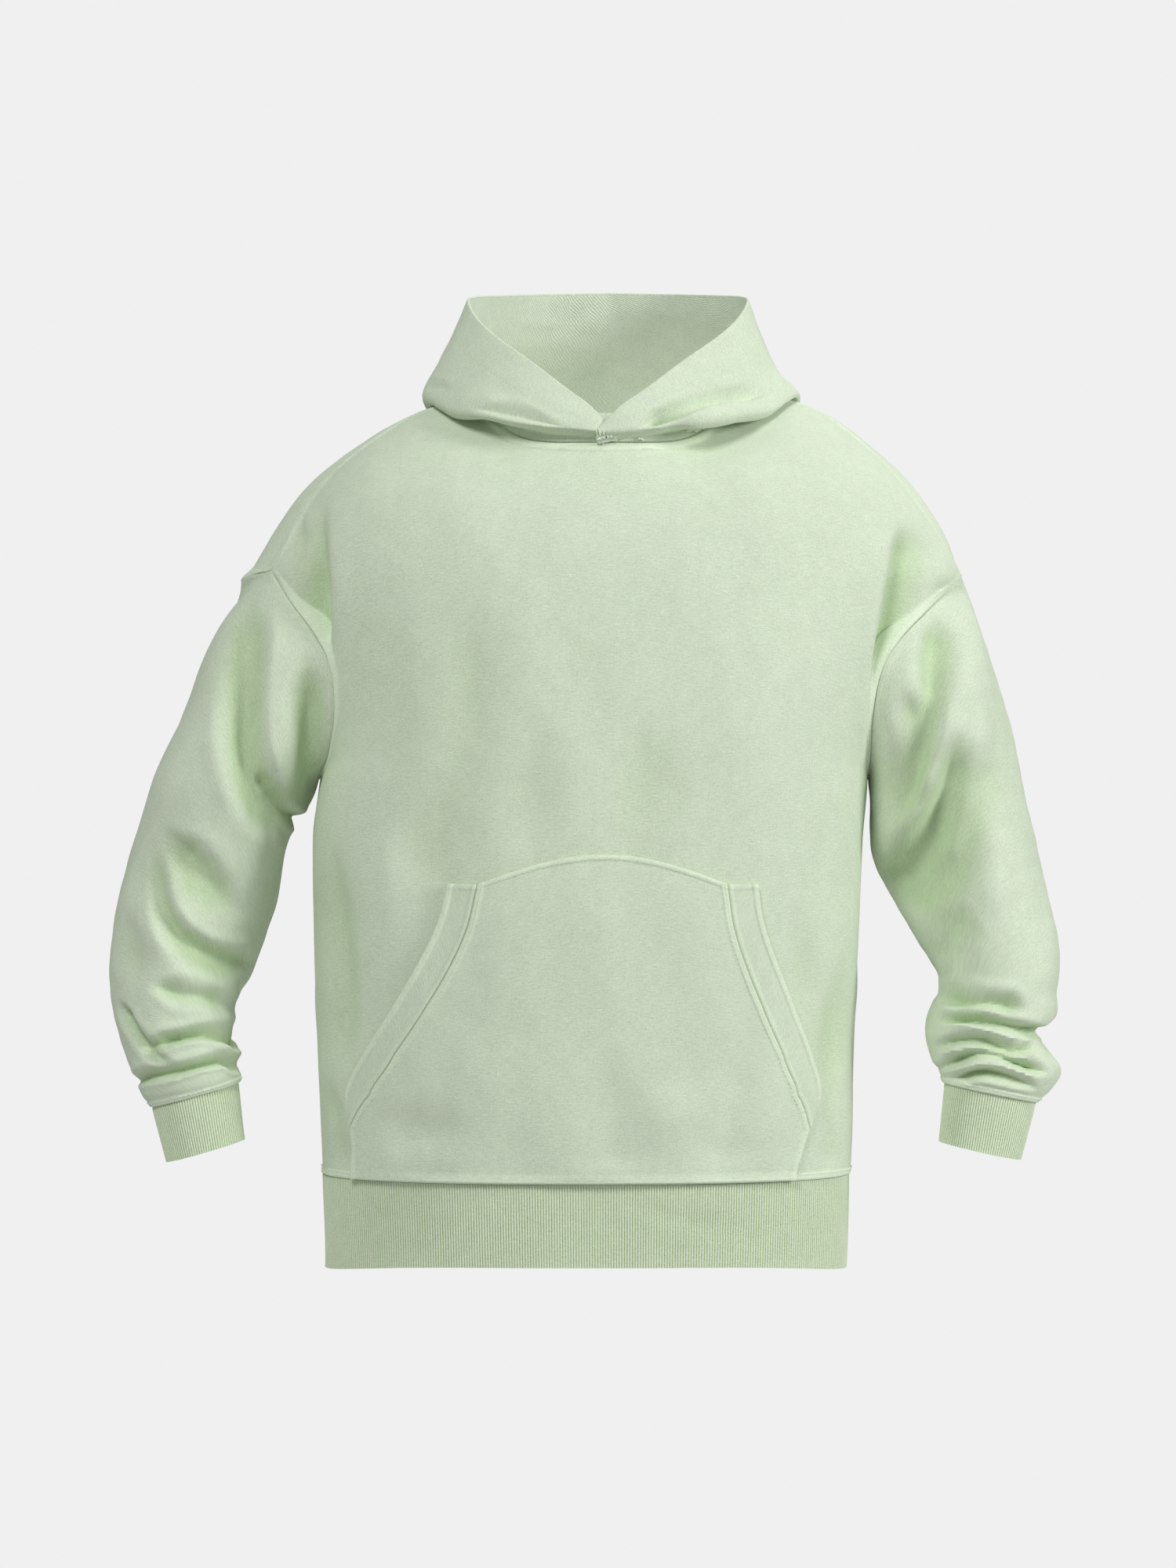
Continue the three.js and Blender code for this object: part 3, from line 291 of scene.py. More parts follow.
SLEEVE_FOLDS = {
    "right": (
        ("front", 17, -18, 0.35, 0.1, 0.2, 0.15, ((-292, -146), (-299, -182), (-300, -230), (-298, -279), (-290, -310), (-276, -336), (-256, -354))),
        ("front", 8, 6, 0, 0, 0.3, 0.3, ((-275, -154), (-273, -190), (-277, -231), (-275, -271), (-267, -307), (-262, -326))),
        ("front", 13, -14, 0.2, 0.1, 0.3, 0.2, ((-247, -196), (-241, -243), (-241, -283), (-246, -315), (-252, -345))),
        ("both", 5, -9, 0, 0.2, 0.3, 0.1, ((-282, -300), (-272, -318), (-262, -336), (-250, -346))),
        ("front", 22, 5, 0, 0, 0.4, 0.4, ((-330, -230), (-352, -290), (-368, -350))),
        ("front", 15, -11, -0.4, 0.1, 0.35, 0.3, ((-372, -342), (-352, -362), (-319, -398), (-296, -424))),
        ("front", 11, -13, -0.5, 0.15, 0.3, 0.1, ((-374, -352), (-369, -400), (-352, -430), (-324, -450), (-286, -462))),
        ("front", 9, 5, 0, 0, 0.4, 0.4, ((-380, -356), (-378, -400), (-364, -440), (-336, -464))),
        ("front", 13, -5, 0.3, 0.1, 0.4, 0.4, ((-392, -400), (-392, -440), (-384, -484))),
        ("both", 8, -10, 0.3, 0.2, 0.3, 0.3, ((-376, -474), (-352, -482), (-326, -486), (-308, -500))),
        ("both", 5, -13, 0.4, 0.25, 0.25, 0.1, ((-384, -527), (-366, -523), (-351, -519), (-328, -515), (-309, -520), (-298, -533))),
        ("both", 5, -11, 0.3, 0.2, 0.2, 0.3, ((-402, -488), (-394, -506), (-381, -524), (-368, -535), (-352, -538))),
        ("both", 4.5, -11, 0.7, 0.25, 0.1, 0.1, ((-392, -560), (-381, -554), (-351, -547), (-325, -540), (-312, -539), (-300, -550))),
        ("back", 16, -9, 0.3, 0.1, 0.3, 0.3, ((-330, -215), (-300, -290), (-276, -366))),
        ("back", 14, -9, 0.2, 0.1, 0.3, 0.3, ((-404, -390), (-350, -410), (-292, -446))),
        ("back", 10, -8, 0.3, 0.2, 0.3, 0.3, ((-404, -440), (-350, -470), (-300, -488))),
    ),
    "left": (
        ("front", 13, -12, 0.4, 0.1, 0.2, 0.3, ((276, -164), (269, -210), (265, -262), (258, -294), (246, -320))),
        ("front", 8, 6, 0, 0, 0.3, 0.3, ((286, -230), (276, -268), (260, -308), (248, -330))),
        ("front", 13, -12, 0.2, 0.1, 0.2, 0.3, ((248, -230), (252, -278), (242, -324), (232, -350))),
        ("front", 24, -26, 0.65, 0.1, 0.3, 0.1, ((292, -262), (284, -310), (270, -346), (248, -378), (226, -398))),
        ("front", 11, 7, 0, 0, 0.3, 0.3, ((310, -240), (305, -290), (294, -336), (276, -372), (250, -398))),
        ("front", 14, 4, 0, 0, 0.4, 0.4, ((322, -330), (320, -380), (324, -430))),
        ("front", 14, -5, 0.3, 0.1, 0.4, 0.3, ((300, -404), (286, -430), (278, -464))),
        ("both", 7, -12, 0.4, 0.25, 0.2, 0.3, ((272, -484), (292, -488), (320, -490), (350, -497))),
        ("both", 5, -13, 0.4, 0.25, 0.2, 0.2, ((270, -506), (290, -502), (318, -506), (346, -514), (372, -516))),
        ("both", 5, -12, 0.4, 0.25, 0.2, 0.2, ((268, -530), (284, -523), (310, -521), (336, -528), (362, -524))),
        ("both", 4.5, -12, 0.4, 0.25, 0.2, 0.2, ((272, -548), (288, -538), (312, -532), (340, -540), (368, -548))),
        ("both", 4.5, -10, 0.4, 0.25, 0.2, 0.3, ((282, -556), (310, -548), (338, -554), (360, -563))),
        ("back", 16, -9, -0.3, 0.1, 0.3, 0.3, ((334, -215), (300, -300), (262, -372))),
        ("back", 14, -9, 0.2, 0.1, 0.3, 0.3, ((366, -400), (320, -424), (272, -446))),
        ("back", 10, -8, 0.3, 0.2, 0.3, 0.3, ((378, -446), (330, -474), (280, -484))),
    ),
}

# Folds of the pocket, and creases of the hood
POCKET_FOLDS = (
    ("front", 18, -4, 0.2, 0.1, 0.4, 0.5, ((-196, -572), (-160, -592), (-130, -590), (-90, -570))),
    ("front", 26, -3.5, 0, 0.4, 0.5, 0.2, ((4, -520), (8, -570), (10, -632))),
    ("front", 18, -4.5, 0, 0, 0.5, 0.2, ((118, -490), (106, -560), (96, -600), (92, -632))),
    ("front", 34, 3, 0, 0, 0.5, 0.5, ((-120, -500), (-90, -560), (-60, -600))),
    ("front", 30, 3, 0, 0, 0.5, 0.5, ((50, -540), (54, -580), (56, -620))),
)
HOOD_FOLDS = {
    "right": (
        ("front", 4.5, -6, 0.4, 0.2, 0.3, 0.45, ((-112, -3), (-91, -4), (-68, -9), (-43, -17), (-30, -20))),
        ("front", 5, -3, 0, 0.2, 0.3, 0.4, ((-152, 18), (-140, 20), (-124, 17))),
        ("front", 14, 2, 0, 0, 0.4, 0.4, ((-130, 4), (-104, 4), (-76, 1))),
    ),
    "left": (
        ("front", 5.5, -13, 0.5, 0.15, 0.12, 0.3, ((32, -20), (44, -12), (63, -5), (95, 6), (139, 15))),
        ("front", 5, -4, 0, 0.2, 0.3, 0.3, ((22, -22), (32, -17), (42, -10), (50, -2))),
        ("front", 10, 6, 0, 0, 0.3, 0.3, ((50, -16), (91, -8), (133, 0))),
        ("front", 16, 3, 0, 0, 0.4, 0.4, ((60, 14), (92, 28), (124, 40))),
    ),
}
HEM_FOLDS = (("front", 4.5, -2, 0.4, 0.3, 0.3, 0.3, ((5, -645), (40, -657), (85, -669), (139, -684))),)


def along(rows, key, at):
    """Smooth value of every column of a table at places along its key column."""
    keys, at = rows[key], np.asarray(at, float)
    way = 1 if keys[0] < keys[-1] else -1
    a = np.clip(np.searchsorted(keys * way, at * way, side="left") - 1, 0, len(keys) - 2)
    b = a + 1
    before, after = np.maximum(a - 1, 0), np.minimum(b + 1, len(keys) - 1)
    step = keys[b] - keys[a]
    t = np.clip((at - keys[a]) / step, 0, 1)
    made = {}
    for name, value in rows.items():
        slope_a = (value[b] - value[before]) / (keys[b] - keys[before]) * step
        slope_b = (value[after] - value[a]) / (keys[after] - keys[a]) * step
        made[name] = (
            value[a] * (2 * t**3 - 3 * t**2 + 1)
            + slope_a * (t**3 - 2 * t**2 + t)
            + value[b] * (3 * t**2 - 2 * t**3)
            + slope_b * (t**3 - t**2)
        )
    return made


def points_of(rows):
    """The x, y and z columns of a table as points."""
    return np.stack([rows["x"], rows["y"], rows["z"]], axis=1)


def curve_through(points, at):
    """Points of a smooth curve through given points; at runs from 0 to the number of gaps."""
    points, at = np.asarray(points, float), np.asarray(at, float)
    first = 2 * points[..., :1, :] - points[..., 1:2, :]
    last = 2 * points[..., -1:, :] - points[..., -2:-1, :]
    full = np.concatenate([first, points, last], axis=-2)
    i = np.clip(np.floor(at).astype(int), 0, points.shape[-2] - 2)
    t = (at - i)[:, None]
    p = [full[..., i + k, :] for k in range(4)]
    d = [np.maximum(np.sqrt(np.linalg.norm(p[k + 1] - p[k], axis=-1, keepdims=True)), 1e-4) for k in range(3)]
    leave = ((p[1] - p[0]) / d[0] - (p[2] - p[0]) / (d[0] + d[1]) + (p[2] - p[1]) / d[1]) * d[1]
    arrive = ((p[2] - p[1]) / d[1] - (p[3] - p[1]) / (d[1] + d[2]) + (p[3] - p[2]) / d[2]) * d[1]
    return (
        p[1]
        + leave * t
        + (3 * (p[2] - p[1]) - 2 * leave - arrive) * t**2
        + (2 * (p[1] - p[2]) + leave + arrive) * t**3
    )


def lengths(points, axis=0):
    """Distance along lines of points, from 0."""
    step = np.linalg.norm(np.diff(points, axis=axis), axis=-1)
    start = np.zeros_like(np.take(step, [0], axis=axis))
    return np.concatenate([start, np.cumsum(step, axis=axis)], axis=axis)


def spaced(points, shares):
    """Points of a line at shares of its length."""
    reach = lengths(points)
    return np.stack([np.interp(shares * reach[-1], reach, points[:, k]) for k in range(3)], axis=1)


def ease(t):
    """0 below 0, 1 above 1, and a soft step between."""
    t = np.clip(t, 0, 1)
    return t * t * (3 - 2 * t)


def graded(count, at_start, at_end, margin=0.04, fine=9):
    """Shares from 0 to 1, close together at the ends that are sewn."""
    low, high = margin * at_start, 1 - margin * at_end
    parts = [np.linspace(low, high, count - fine * (at_start + at_end) + 1)]
    if at_start:
        parts.insert(0, np.linspace(0, margin, fine, endpoint=False))
    if at_end:
        parts.append(np.linspace(1 - margin, 1, fine + 1)[1:])
    return np.concatenate(parts)


def folds_at(folds, face, x, z):
    """How far the folds of a face push its points out, by their x and z in front view."""
    push = np.zeros(x.shape)
    for where, wide, depth, lean, puff, start, end, line in folds:
        if where not in (face, "both"):
            continue
        flat = np.array([(px, 0, pz) for px, pz in line], float)
        bent = curve_through(flat, np.linspace(0, len(line) - 1, 8 * len(line)))[:, [0, 2]]
        near = (np.abs(x - bent[:, 0].mean()) < np.ptp(bent[:, 0]) / 2 + 5 * wide) & (
            np.abs(z - bent[:, 1].mean()) < np.ptp(bent[:, 1]) / 2 + 5 * wide
        )
        p = np.stack([x[near], z[near]], axis=1)
        reach = lengths(bent)
        best, share = np.full(len(p), 1e9), np.zeros(len(p))
        signed = np.zeros(len(p))
        for k in range(len(bent) - 1):
            way = bent[k + 1] - bent[k]
            size = np.hypot(*way)
            away = p - bent[k]
            t = np.clip(away @ way / size**2, 0, 1)
            gap = np.hypot(*(away - t[:, None] * way).T)
            closer = gap < best
            side = np.sign(way[0] * away[:, 1] - way[1] * away[:, 0])
            best = np.where(closer, gap, best)
            signed = np.where(closer, gap * side, signed)
            share = np.where(closer, (reach[k] + t * size) / reach[-1], share)
        fade = ease(share / max(start, 0.01)) * ease((1 - share) / max(end, 0.01))
        taper = wide * (0.55 + 0.45 * fade) * (1 + 0.12 * np.sin(9 * share + bent[0, 1]))
        q = signed / (taper * (1 + 0.6 * lean * np.sign(signed)))
        fade *= 1 + 0.18 * np.sin(7 * share + bent[0, 0])
        beside_fold = puff * np.exp(-(((np.abs(q) - 1.7) / 0.75) ** 2)) if wide < 20 else 0
        push[near] += depth * fade * (np.exp(-np.abs(q) ** (1.25 if wide < 10 else 1.8)) - beside_fold)
    around = (push[:-2, 1:-1] + push[2:, 1:-1] + push[1:-1, :-2] + push[1:-1, 2:]) / 4
    push[1:-1, 1:-1] += (around - push[1:-1, 1:-1]) * 0.6
    return push


def sway(points, size, reach, seed):
    """Slow unevenness of hanging cloth: a sum of waves with given size and shortest length."""
    chance = np.random.default_rng(seed)
    total = np.zeros(points.shape[:-1])
    for k in range(7):
        way = chance.normal(size=3) * (1, 1, 0.7)
        way *= 2 * np.pi / (reach * chance.uniform(1, 3.2) * np.linalg.norm(way))
        total += np.sin(points @ way + chance.uniform(0, 6.3)) * chance.uniform(0.4, 1)
    return size * total / 2.2


def outward(grid, closed=False):
    """Unit directions out of a grid of points."""
    if closed:
        across = np.roll(grid, -1, axis=1) - np.roll(grid, 1, axis=1)
    else:
        across = np.gradient(grid, axis=1)
    made = np.cross(across, np.gradient(grid, axis=0))
    return made / np.maximum(np.linalg.norm(made, axis=-1, keepdims=True), 1e-9)


def sewn(distance, ridge, wide, groove=0.5):
    """Relief beside a felled seam: a groove at the seam, a raised strip and its stitch line."""
    strip = ease(distance / 1.2) * ease((wide + 1.2 - distance) / 1.2)
    line = np.exp(-(((distance - wide + 1.2) / 0.7) ** 2))
    return ridge * strip - groove * np.exp(-((distance / 0.7) ** 2)) - 0.25 * line


def quarters(centre, edge, half, square, rise, swell):
    """Level slices from the middle line to a seam: superellipses cut off and drawn to the seam."""
    side = np.sign(edge[:, 0] - centre[:, 0])[:, None]
    cx, cy, cz = (centre[:, k : k + 1] for k in range(3))
    ex, ey, ez = (edge[:, k : k + 1] for k in range(3))
    half, square, rise = half[:, None], square[:, None], rise[:, None]
    cut = np.clip(ey / cy, 0, 0.95)
    last = np.arccos(cut ** (square / 2))
    widest = np.sin(last) ** (2 / square)
    reach = np.minimum(half, np.abs(ex - cx) / widest)
    beyond_x, beyond_y = ex - cx - side * reach * widest, ey - cy * cut
    angle = np.linspace(0, 1, FINE + 1)[None, :] * last
    wide = np.sin(angle) ** (2 / square)
    across = wide / widest
    y = cy * np.abs(np.cos(angle)) ** (2 / square) + beyond_y * across**6
    swollen = np.sin(np.pi * np.minimum(1, np.abs(y - ey) / 75))
    x = cx + side * reach * wide + beyond_x * across**4 + swell[:, :1] * swollen
    z = cz + (ez - cz) * across**rise + swell[:, 1:] * swollen
    made = np.stack([x, y, z], axis=-1)
    made[:, -1] = edge
    return made


def body_base(face, side_rows, arm_rows, shoulder_rows, half_columns):
    """One panel as a grid of points, from the hem up, with its outside to the grid's outside."""
    toward = -1 if face == "front" else 1
    neck_z = FRONT_NECK_Z if face == "front" else BACK_NECK_Z
    low = HEM_SEAM_Z + (UNDERARM_Z - HEM_SEAM_Z) * graded(side_rows, True, False, 0.03)[:-1]
    arm = np.linspace(0, 1, arm_rows, endpoint=False)
    shoulder = graded(shoulder_rows, False, True, 0.08)
    z = np.concatenate(
        [
            low,
            UNDERARM_Z + (SHOULDER_TIP_Z - UNDERARM_Z) * arm,
            SHOULDER_TIP_Z + (neck_z - SHOULDER_TIP_Z) * shoulder,
        ]
    )
    cut = along(BODY, "z", z)
    centre = np.stack([cut["middle"], toward * cut[face], z], axis=1)
    halves = {}
    for name, side in SIDES.items():
        below = along(BODY, "z", low)
        straight = np.stack([below["middle"] + side * below["half"], 0 * low, low], axis=1)
        arm_table = ARMHOLE[name, face]
        curve = curve_through(points_of(arm_table), np.linspace(0, len(arm_table["x"]) - 1, FINE))
        seam = spaced(curve, 1 - arm)
        place = shoulder * (len(SHOULDER[name]["x"]) - 1)
        top = along(SHOULDER[name], "row", place)
        ahead, behind = (along(SHOULDER[name], "row", place + step) for step in (0.5, -0.5))
        run = np.stack([ahead["x"] - behind["x"], ahead["z"] - behind["z"]], axis=1)
        run /= np.linalg.norm(run, axis=1, keepdims=True)
        tip = (TIP_SWELL - SHOULDER[name]["swell"][0]) * ease(1 - place)
        swell = np.zeros((len(z), 2))
        if face == "back":
            swell[-len(place) :] = side * top["swell"][:, None] * np.stack([run[:, 1], -run[:, 0]], axis=1)
            if name == "right":
                swell[-len(place) :, 0] += side * tip
                swell[len(low) : -len(place), 0] = side * TIP_SWELL * ease((arm - 0.8) / 0.2)
        edge = np.concatenate([straight, seam, points_of(top)])
        slices = quarters(centre, edge, cut["half"], cut["square"], cut["rise"], swell)
        shares = graded(half_columns, False, True)
        halves[name] = np.stack([spaced(line, shares) for line in slices])
    grid = np.concatenate([halves["right"][:, ::-1], halves["left"][:, 1:]], axis=1)
    inside = edge_fade(grid, 30)[..., None]
    for _ in range(40):
        middle = (grid[:-2] + 2 * grid[1:-1] + grid[2:]) / 4
        grid[1:-1] += (middle - grid[1:-1]) * inside[1:-1]
    return grid if face == "front" else grid[:, ::-1]


def edge_gaps(grid):
    """Distances to the first and last column and to the first and last row, square to those edges."""
    gaps = []
    for axis in (1, 0):
        reach = lengths(grid, axis=axis)
        turned = np.swapaxes(grid, 0, 1) if axis == 0 else grid
        for end, inner in ((0, 1), (-1, -2)):
            seam = np.gradient(turned[:, end], axis=0)
            way = turned[:, inner] - turned[:, end]
            size = np.linalg.norm(seam, axis=1) * np.linalg.norm(way, axis=1)
            square = np.linalg.norm(np.cross(seam, way), axis=1) / np.maximum(size, 1e-9)
            gap = reach if end == 0 else np.take(reach, [-1], axis=axis) - reach
            gaps.append(gap * (square[:, None] if axis == 1 else square[None, :]))
    return gaps


def edge_fade(grid, reach):
    """0 at the edges of a grid, rising to 1 at a distance inside."""
    return ease(np.minimum.reduce(edge_gaps(grid)) / reach)


BODY_ROWS = {"front": (108, 84, 66, 96), "back": (90, 66, 48, 72)}


@functools.lru_cache(maxsize=None)
def body_panel(face):
    """A body panel: its plain form, its form with folds, its surface with seams, and its wear with painted light and
    shade.
    """
    side_rows, arm_rows, shoulder_rows, columns = BODY_ROWS[face]
    base = body_base(face, side_rows, arm_rows, shoulder_rows, columns)
    fade = edge_fade(base, 8)
    out = outward(base)
    push = folds_at(BODY_FOLDS, face, base[..., 0], base[..., 2])
    push += sway(base, 1.1, 60, 3 if face == "front" else 4) + sway(base, 0.25, 16, 5)
    form = base + out * (push * fade)[..., None]
    first, last, hem, neck = edge_gaps(base)
    rows = np.arange(len(base))[:, None]
    on_side = rows < side_rows
    on_arm = (rows >= side_rows) & (rows < side_rows + arm_rows)
    relief = np.zeros(base.shape[:2])
    for gap in (first, last):
        relief += np.where(on_side, sewn(gap, 0.25, 3), 0)
        relief += np.where(on_arm, sewn(gap, 1.5, 6, 0.2), 0)
        strip = (1.1, 4.5) if face == "front" else (0.4, 3.5)
        relief += np.where(on_side | on_arm, 0, sewn(gap, *strip))
    relief += sewn(neck, 1.4, 6.5, 0.2) + sewn(hem, 1.2, 5.5, 0.2)
    relief = np.clip(relief, -1, 1.5)
    grid = form + outward(form) * relief[..., None]
    return base, form, grid, wear_and_painted_light(relief, push * fade)


def painted_fold_shading(push):
    """Painted shade in the folds' troughs and a faint painted highlight on their crests, as a colour value."""
    return np.clip(push / 17, -0.75, 0.25)


def wear_and_painted_light(relief, push):
    """Wear and painted light of the cloth: raised seams are paler, partly by wear and partly as a painted highlight,
    while seam grooves and the fold troughs beside them are painted darker and deeper in colour as shade.
    """
    return relief + painted_fold_shading(push) * (1 - np.clip(relief, 0, 1))


def rings(rows, count):
    """Closed rings round an arm, starting on the outside and going over the front."""
    out = np.stack([rows["outX"], rows["midY"], rows["outZ"]], axis=-1)[..., None, :]
    inner = np.stack([rows["inX"], rows["midY"], rows["inZ"]], axis=-1)[..., None, :]
    angle = 2 * np.pi * np.arange(count) / count
    bend = lambda v: np.sign(v) * np.abs(v) ** (2 / 2.1)
    across, over = bend(np.cos(angle)), bend(np.sin(angle))
    made = (out + inner) / 2 + across[:, None] * (out - inner) / 2
    made[..., 1] -= np.asarray(rows["deep"])[..., None] * over
    return made


@functools.lru_cache(maxsize=None)
def sleeve_panel(name, count=168):
    """A sleeve from the armhole to the wrist, with its columns starting at the underarm seam."""
    half = count // 2
    seams = []
    for face in ("front", "back"):
        arm_table = ARMHOLE[name, face]
        curve = curve_through(points_of(arm_table), np.linspace(0, len(arm_table["x"]) - 1, FINE))
        seams.append(spaced(curve, np.linspace(0, 1, half + 1)))
    seam = np.concatenate([seams[0], seams[1][::-1][1:-1]])
    rows, wrist = SLEEVE[name], 8
    last = len(rows["row"]) - 1
    places = np.concatenate(
        [np.linspace(0, wrist, 100)[:-1], wrist + (last - wrist) * graded(66, False, True, 0.06, 8)]
    )
    plain = rings(along(rows, "row", places), count)
    near = rings(along(rows, "row", np.array([0, 0.5, 1.25, 2, 2.75])), count)
    guide = np.stack([2 * seam - near[0], seam, near[0], plain[12]], axis=1)
    knots = np.stack([seam, curve_through(guide, np.array([1.75]))[:, 0], *near[1:]], axis=1)
    upper = np.swapaxes(curve_through(knots, np.linspace(0, 4, 60)), 0, 1)
    start = int(np.searchsorted(places, 2)) + 1
    lower = plain[start:]
    upper = np.stack([spaced(line, graded(46, True, False, 0.08, 8)) for line in np.swapaxes(upper, 0, 1)], axis=1)
    base = np.concatenate([upper, lower])
    hold = ease((130 - lengths(base)) / 60)[1:-1, :, None]
    for _ in range(30):
        base[1:-1] += ((base[:-2] + base[2:]) / 2 - base[1:-1]) * hold * 0.8
    turn = np.sin(2 * np.pi * np.arange(count) / count)
    reach = lengths(base)
    fade = ease(reach / 16) * ease((reach[-1] - reach) / 7)
    push = np.zeros(base.shape[:2])
    for face, here in (("front", turn > 0), ("back", turn <= 0)):
        own = [fold for fold in SLEEVE_FOLDS[name] if fold[0] != "both"]
        wrap = [fold for fold in SLEEVE_FOLDS[name] if fold[0] == "both"]
        x, z = base[:, here, 0], base[:, here, 2]
        push[:, here] = folds_at(own, face, x, z) * np.abs(turn[here]) ** 0.4 + folds_at(wrap, face, x, z)
    push += sway(base, 1.0, 50, 6 if name == "right" else 7) + sway(base, 0.3, 15, 8)
    base, push, fade, reach = (np.roll(array, half, axis=1) for array in (base, push, fade, reach))
    if name == "right":
        base, push, fade, reach = (array[:, ::-1] for array in (base, push, fade, reach))
        base, push, fade, reach = (np.roll(array, 1, axis=1) for array in (base, push, fade, reach))
    form = base + outward(base, True) * (push * fade)[..., None]
    around = lengths(np.concatenate([base, base[:, :1]], axis=1), axis=1)
    gap = np.minimum(around, around[:, -1:] - around)[:, :-1]
    relief = sewn(reach, 0.3, 4, 0.3) + sewn(reach[-1] - reach, 1.4, 5, 0.2) + 0.6 * sewn(gap, 0.3, 3)
    grid = form + outward(form, True) * np.clip(relief, -1.2, 1.3)[..., None]
    # Painted shade in the sleeve's fold troughs, and painted highlight on their crests, set stronger than on the body
    relief = wear_and_painted_light(relief, 1.4 * push * fade)
    return tuple(np.concatenate([array, array[:, :1]], axis=1) for array in (form, grid, relief))


def neck_line(name):
    """The neck seam of one side, from the centre front to the centre back."""
    front, back = body_panel("front")[0][-1], body_panel("back")[0][-1]
    middle_front, middle_back = len(front) // 2, len(back) // 2
    if name == "right":
        return np.concatenate([front[middle_front::-1], back[::-1][1 : middle_back + 1]])
    return np.concatenate([front[middle_front:], back[1 : middle_back + 1]])


def body_tree():
    """The outer faces of both body panels, for what lies on them."""
    points, faces, count = [], [], 0
    for face in ("front", "back"):
        grid = body_panel(face)[2]
        quads = grid_quads(*grid.shape[:2]) + count
        points.append(grid.reshape(-1, 3))
        faces.append(quads)
        count += grid.shape[0] * grid.shape[1]
    return BVHTree.FromPolygons(np.concatenate(points).tolist(), np.concatenate(faces).tolist())


def settle(grid, tree, clearance, rounds=4):
    """Lifts a grid clear of the cloth that it lies on, and keeps it smooth."""
    for step in range(rounds):
        lift = np.zeros(grid.shape)
        for i in range(grid.shape[0]):
            for j in range(2, grid.shape[1]):
                place, normal, _, gap = tree.find_nearest(Vector(grid[i, j]), 60)
                if place is None:
                    continue
                height = (Vector(grid[i, j]) - place).dot(normal)
                if height < clearance[i, j]:
                    lift[i, j] = np.array(normal) * (clearance[i, j] - height)
        grid = grid + lift
        if step == rounds - 1:
            break
        touched = np.linalg.norm(lift, axis=-1, keepdims=True) > 0.01
        weight = touched.astype(float)
        for _ in range(5):
            weight[1:-1, 1:-1] = (weight[:-2, 1:-1] + weight[2:, 1:-1] + weight[1:-1, :-2] + weight[1:-1, 2:]) / 4
            soft = (grid[:-2, 1:-1] + grid[2:, 1:-1] + grid[1:-1, :-2] + grid[1:-1, 2:]) / 4
            grid[1:-1, 1:-1] += (soft - grid[1:-1, 1:-1]) * np.minimum(1, 2 * weight[1:-1, 1:-1]) * 0.7
    return grid


@functools.lru_cache(maxsize=None)
def hood_panel(name, columns=130, rows=120):
    """Half of the hood: a column from the neck seam to the rim at each step round the neck."""
    side = SIDES[name]
    u = np.linspace(0, 1, columns + 1)
    cut = along(HOOD, "u", u)
    cut["sag"] -= HOOD_RAISE[name] * ease((0.5 - u) / 0.1) * ease((u - 0.2) / 0.1)
    reach = cut["reach"] * (1 + side * HOOD_LEAN * np.sin(np.pi * u))
    bulge = cut["bulge"] + (HOOD_BULGE_LEAN * np.sin(np.pi * u) if side < 0 else 0)
    seam = spaced(neck_line(name), u)
    out = np.stack([seam[:, 0], seam[:, 1] + 13, 0 * u], axis=1)
    out /= np.linalg.norm(out, axis=1, keepdims=True)
    out[-1] = (0, 1, 0)
    seam[:, 2] += 0.6
    rim = np.stack([side * cut["rimX"] + HOOD_SHIFT * u, cut["rimY"], cut["rimZ"]], axis=1)
    low = seam[:, 2] - cut["sag"]
    stand = np.minimum(HOOD_STAND, 0.3 * reach)

    def at(share, z):
        made = seam + out * (share * reach)[:, None]
        made[:, 2] = z
        return made

    outer = at(1, low + 0.3 * (rim[:, 2] - low) * np.minimum(1, cut["sag"] / 150 + 0.35))
    blend = (0.4 + 1.2 * bulge)[:, None]
    upper = outer + (rim - outer) * blend + out * (bulge * reach)[:, None]
    guide = np.stack(
        [
            seam,
            at(0.02, seam[:, 2] + stand),
            at(0.45, seam[:, 2] + stand + (low - seam[:, 2] - stand) * 0.45),
            at(0.8, low),
            outer,
            upper,
            rim,
        ],
        axis=1,
    )
    lines = curve_through(guide, np.linspace(0, 6, FINE))
    shares = np.concatenate([np.linspace(0, 0.03, 5)[:-1], np.linspace(0.03, 1, rows - 3)])
    grid = np.stack([spaced(line, shares) for line in lines])
    lap = np.maximum(0, 1 - u / HOOD_LAP_SPAN)[:, None, None]
    grid[..., :1] -= side * lap * HOOD_OVERLAP
    grid = settle(grid, body_tree(), 0.4 + 3 * ease(lengths(grid, axis=1) / 9))
    if name == "left":
        grid = grid[:, ::-1]
        lapping = outward(grid) * HOOD_LAP_STEP * lap
        grid = grid + lapping
    base = grid
    out = outward(base)
    facing = np.clip(-out[..., 1] * 2.5, 0, 1)
    reach = lengths(base, axis=1)
    from_seam = reach if name == "right" else reach[:, -1:] - reach
    from_rim = reach[:, -1:] - from_seam
    fade = ease(from_seam / 8) * ease(from_rim / 30)
    push = folds_at(HOOD_FOLDS[name], "front", base[..., 0], base[..., 2]) * facing
    push += sway(base, 0.9, 45, 9 if name == "right" else 10) + sway(base, 0.25, 14, 11)
    ends = ease(lengths(base) / 10) * ease((lengths(base)[-1] - lengths(base)) / 10)
    grid = base + out * (push * fade * np.maximum(ends, 0.0))[..., None]
    relief = sewn(from_seam, 0.4, 4, 0.1) - 0.2 * np.exp(-(((from_rim - HOOD_HEM_DEPTH) / 0.9) ** 2))
    relief += sewn(lengths(base)[-1] - lengths(base), 0.3, 4, 0.2)
    grid += outward(grid) * relief[..., None]
    return base, grid, relief


